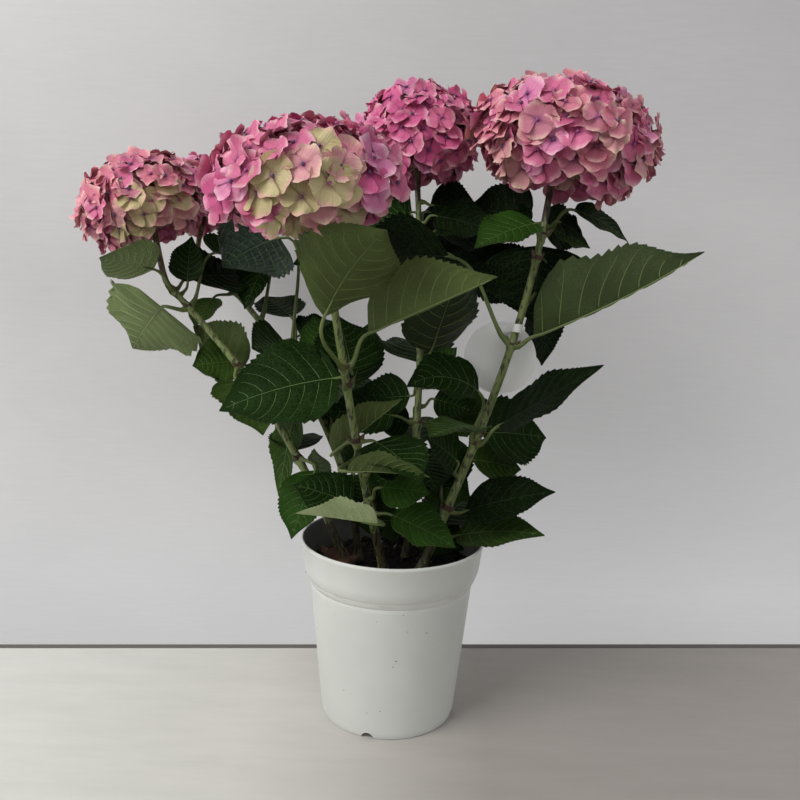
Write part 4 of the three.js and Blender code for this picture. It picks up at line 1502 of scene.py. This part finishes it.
# Stage
def stage_plane(name, size, stand, place, turn, finish):
    """A plane in metres, stood up, moved and turned about the pot by degrees."""
    bpy.ops.object.select_all(action="DESELECT")
    bpy.ops.mesh.primitive_plane_add(size=1)
    piece = bpy.context.object
    piece.name = name
    for step in (
        Matrix.Diagonal((*size, 1, 1)),
        Matrix.Rotation(rad(stand), 4, "X"),
        Matrix.Translation(place),
        Matrix.Rotation(rad(turn), 4, "Z"),
    ):
        piece.data.transform(step)
    piece.data.materials.append(finish.material)


def floor_with_painted_shadow():
    f = Finish("floor_pale", "#cfcbc6", 0.55)
    worn = f.ramp(f.noise(f.place((1, 5, 1)), 9.0, 7.0, 0.65), (0.3, 0.9), (0.7, 1.0))
    # Painted light and shadow: the floor is brighter on the left and darker to the right of the
    # pot, where the plant's shadow falls.
    tones = ((0.0, "#e4e4de"), (0.36, "#dcdad4"), (0.6, "#aaa49e"), (1.0, "#b0aaa4"))
    f.colour(f.mixed(1.0, f.ramp(f.across(STAGE_HALF), *tones), worn, "MULTIPLY"))
    return f


def wall_with_painted_glow():
    f = Finish("wall_pale", "#c9c8c9", 0.7)
    brushed = f.ramp(f.noise(f.place((1.2, 1, 14)), 26.0, 6.0, 0.65), (0.3, 0.955), (0.7, 1.0))
    broad = f.ramp(f.noise(f.place((1, 1, 1.6)), 3.0, 4.0), (0.3, "#c6c5c6"), (0.7, "#cecdce"))
    f.colour(f.mixed(1.0, broad, brushed, "MULTIPLY"))
    # Painted light: the wall glows, most at its foot and more on the right, where the lamps reach
    # it less.
    height = f.axis("Z")
    left = f.ramp(height, (0.0, 0.19), (0.34, 0.01))
    right = f.ramp(height, (0.0, 0.28), (0.64, 0.02))
    f.link(f.mixed(f.across(STAGE_HALF), left, right), f.shader.inputs["Emission Color"])
    f.shader.inputs["Emission Strength"].default_value = 1.0
    f.clear_from_behind()
    return f


def make_stage():
    back = FLOOR_BACK
    # Painted shadow: a dark strip along the floor's back edge, where the floor meets the gap to the
    # wall.
    edge = Finish("gap_shade", "#6a6661", 0.8)
    stage_plane("floor", (3.2, 2.4), 0, (0, back - 1.2, 0), 4.5, floor_with_painted_shadow())
    stage_plane("floor_back_edge", (3.2, 0.007), 0, (0, back - 0.0035, 0.0004), 4.5, edge)
    stage_plane("backdrop", (4, 3.2), 90, (0, 0.24, 0.9), 3, wall_with_painted_glow())


def make_lights():
    world = bpy.data.worlds.new("soft_room")
    world.use_nodes = True
    world.node_tree.nodes["Background"].inputs["Color"].default_value = (0.98, 0.99, 1, 1)
    world.node_tree.nodes["Background"].inputs["Strength"].default_value = 0.36
    bpy.context.scene.world = world
    for name, place, size, power, colour in (
        ("window", (-1.0, -0.8, 1.3), 1.0, 20, (1, 0.99, 0.97)),
        ("fill", (0.9, -1.4, 1.1), 1.4, 3, (0.97, 0.98, 1)),
    ):
        light = bpy.data.lights.new(name, "AREA")
        light.energy = power
        light.size = size
        light.color = colour
        lamp = bpy.data.objects.new(name, light)
        lamp.location = place
        aim = Vector((0, 0, 0.25)) - Vector(place)
        lamp.rotation_euler = aim.to_track_quat("-Z", "Y").to_euler()
        bpy.context.scene.collection.objects.link(lamp)


def make_camera():
    """The photograph's viewing angle, fitted to the pot's rim, band and foot."""
    yaw, pitch, roll = CAMERA_TURN
    level = math.cos(pitch)
    forward = Vector((math.sin(yaw) * level, math.cos(yaw) * level, -math.sin(pitch)))
    right = Vector((math.cos(yaw), -math.sin(yaw), 0))
    up = right.cross(forward)
    across = right * math.cos(roll) + up * math.sin(roll)
    upward = up * math.cos(roll) - right * math.sin(roll)
    data = bpy.data.cameras.new("camera")
    data.sensor_width = 36
    data.lens = FOCAL_SHARE * data.sensor_width
    camera = bpy.data.objects.new("camera", data)
    turned = Matrix((across, upward, -forward)).transposed().to_4x4()
    camera.matrix_world = Matrix.Translation(CAMERA_AT) @ turned
    bpy.context.scene.collection.objects.link(camera)
    bpy.context.scene.camera = camera
    bpy.context.scene.view_settings.view_transform = "Standard"


make_camera()
canes = {row[0]: Cane(*row[1:]) for row in CANES}
heads = [Head(*row) for row in HEADS]
leaves = grow_leaves(canes, heads)
make_pot()
make_specks()
make_soil()
make_chips()
make_litter()
make_canes(canes)
make_buds(canes)
make_leaves(leaves)
make_heads(heads, canes)
make_tag(canes)
make_stage()
make_lights()
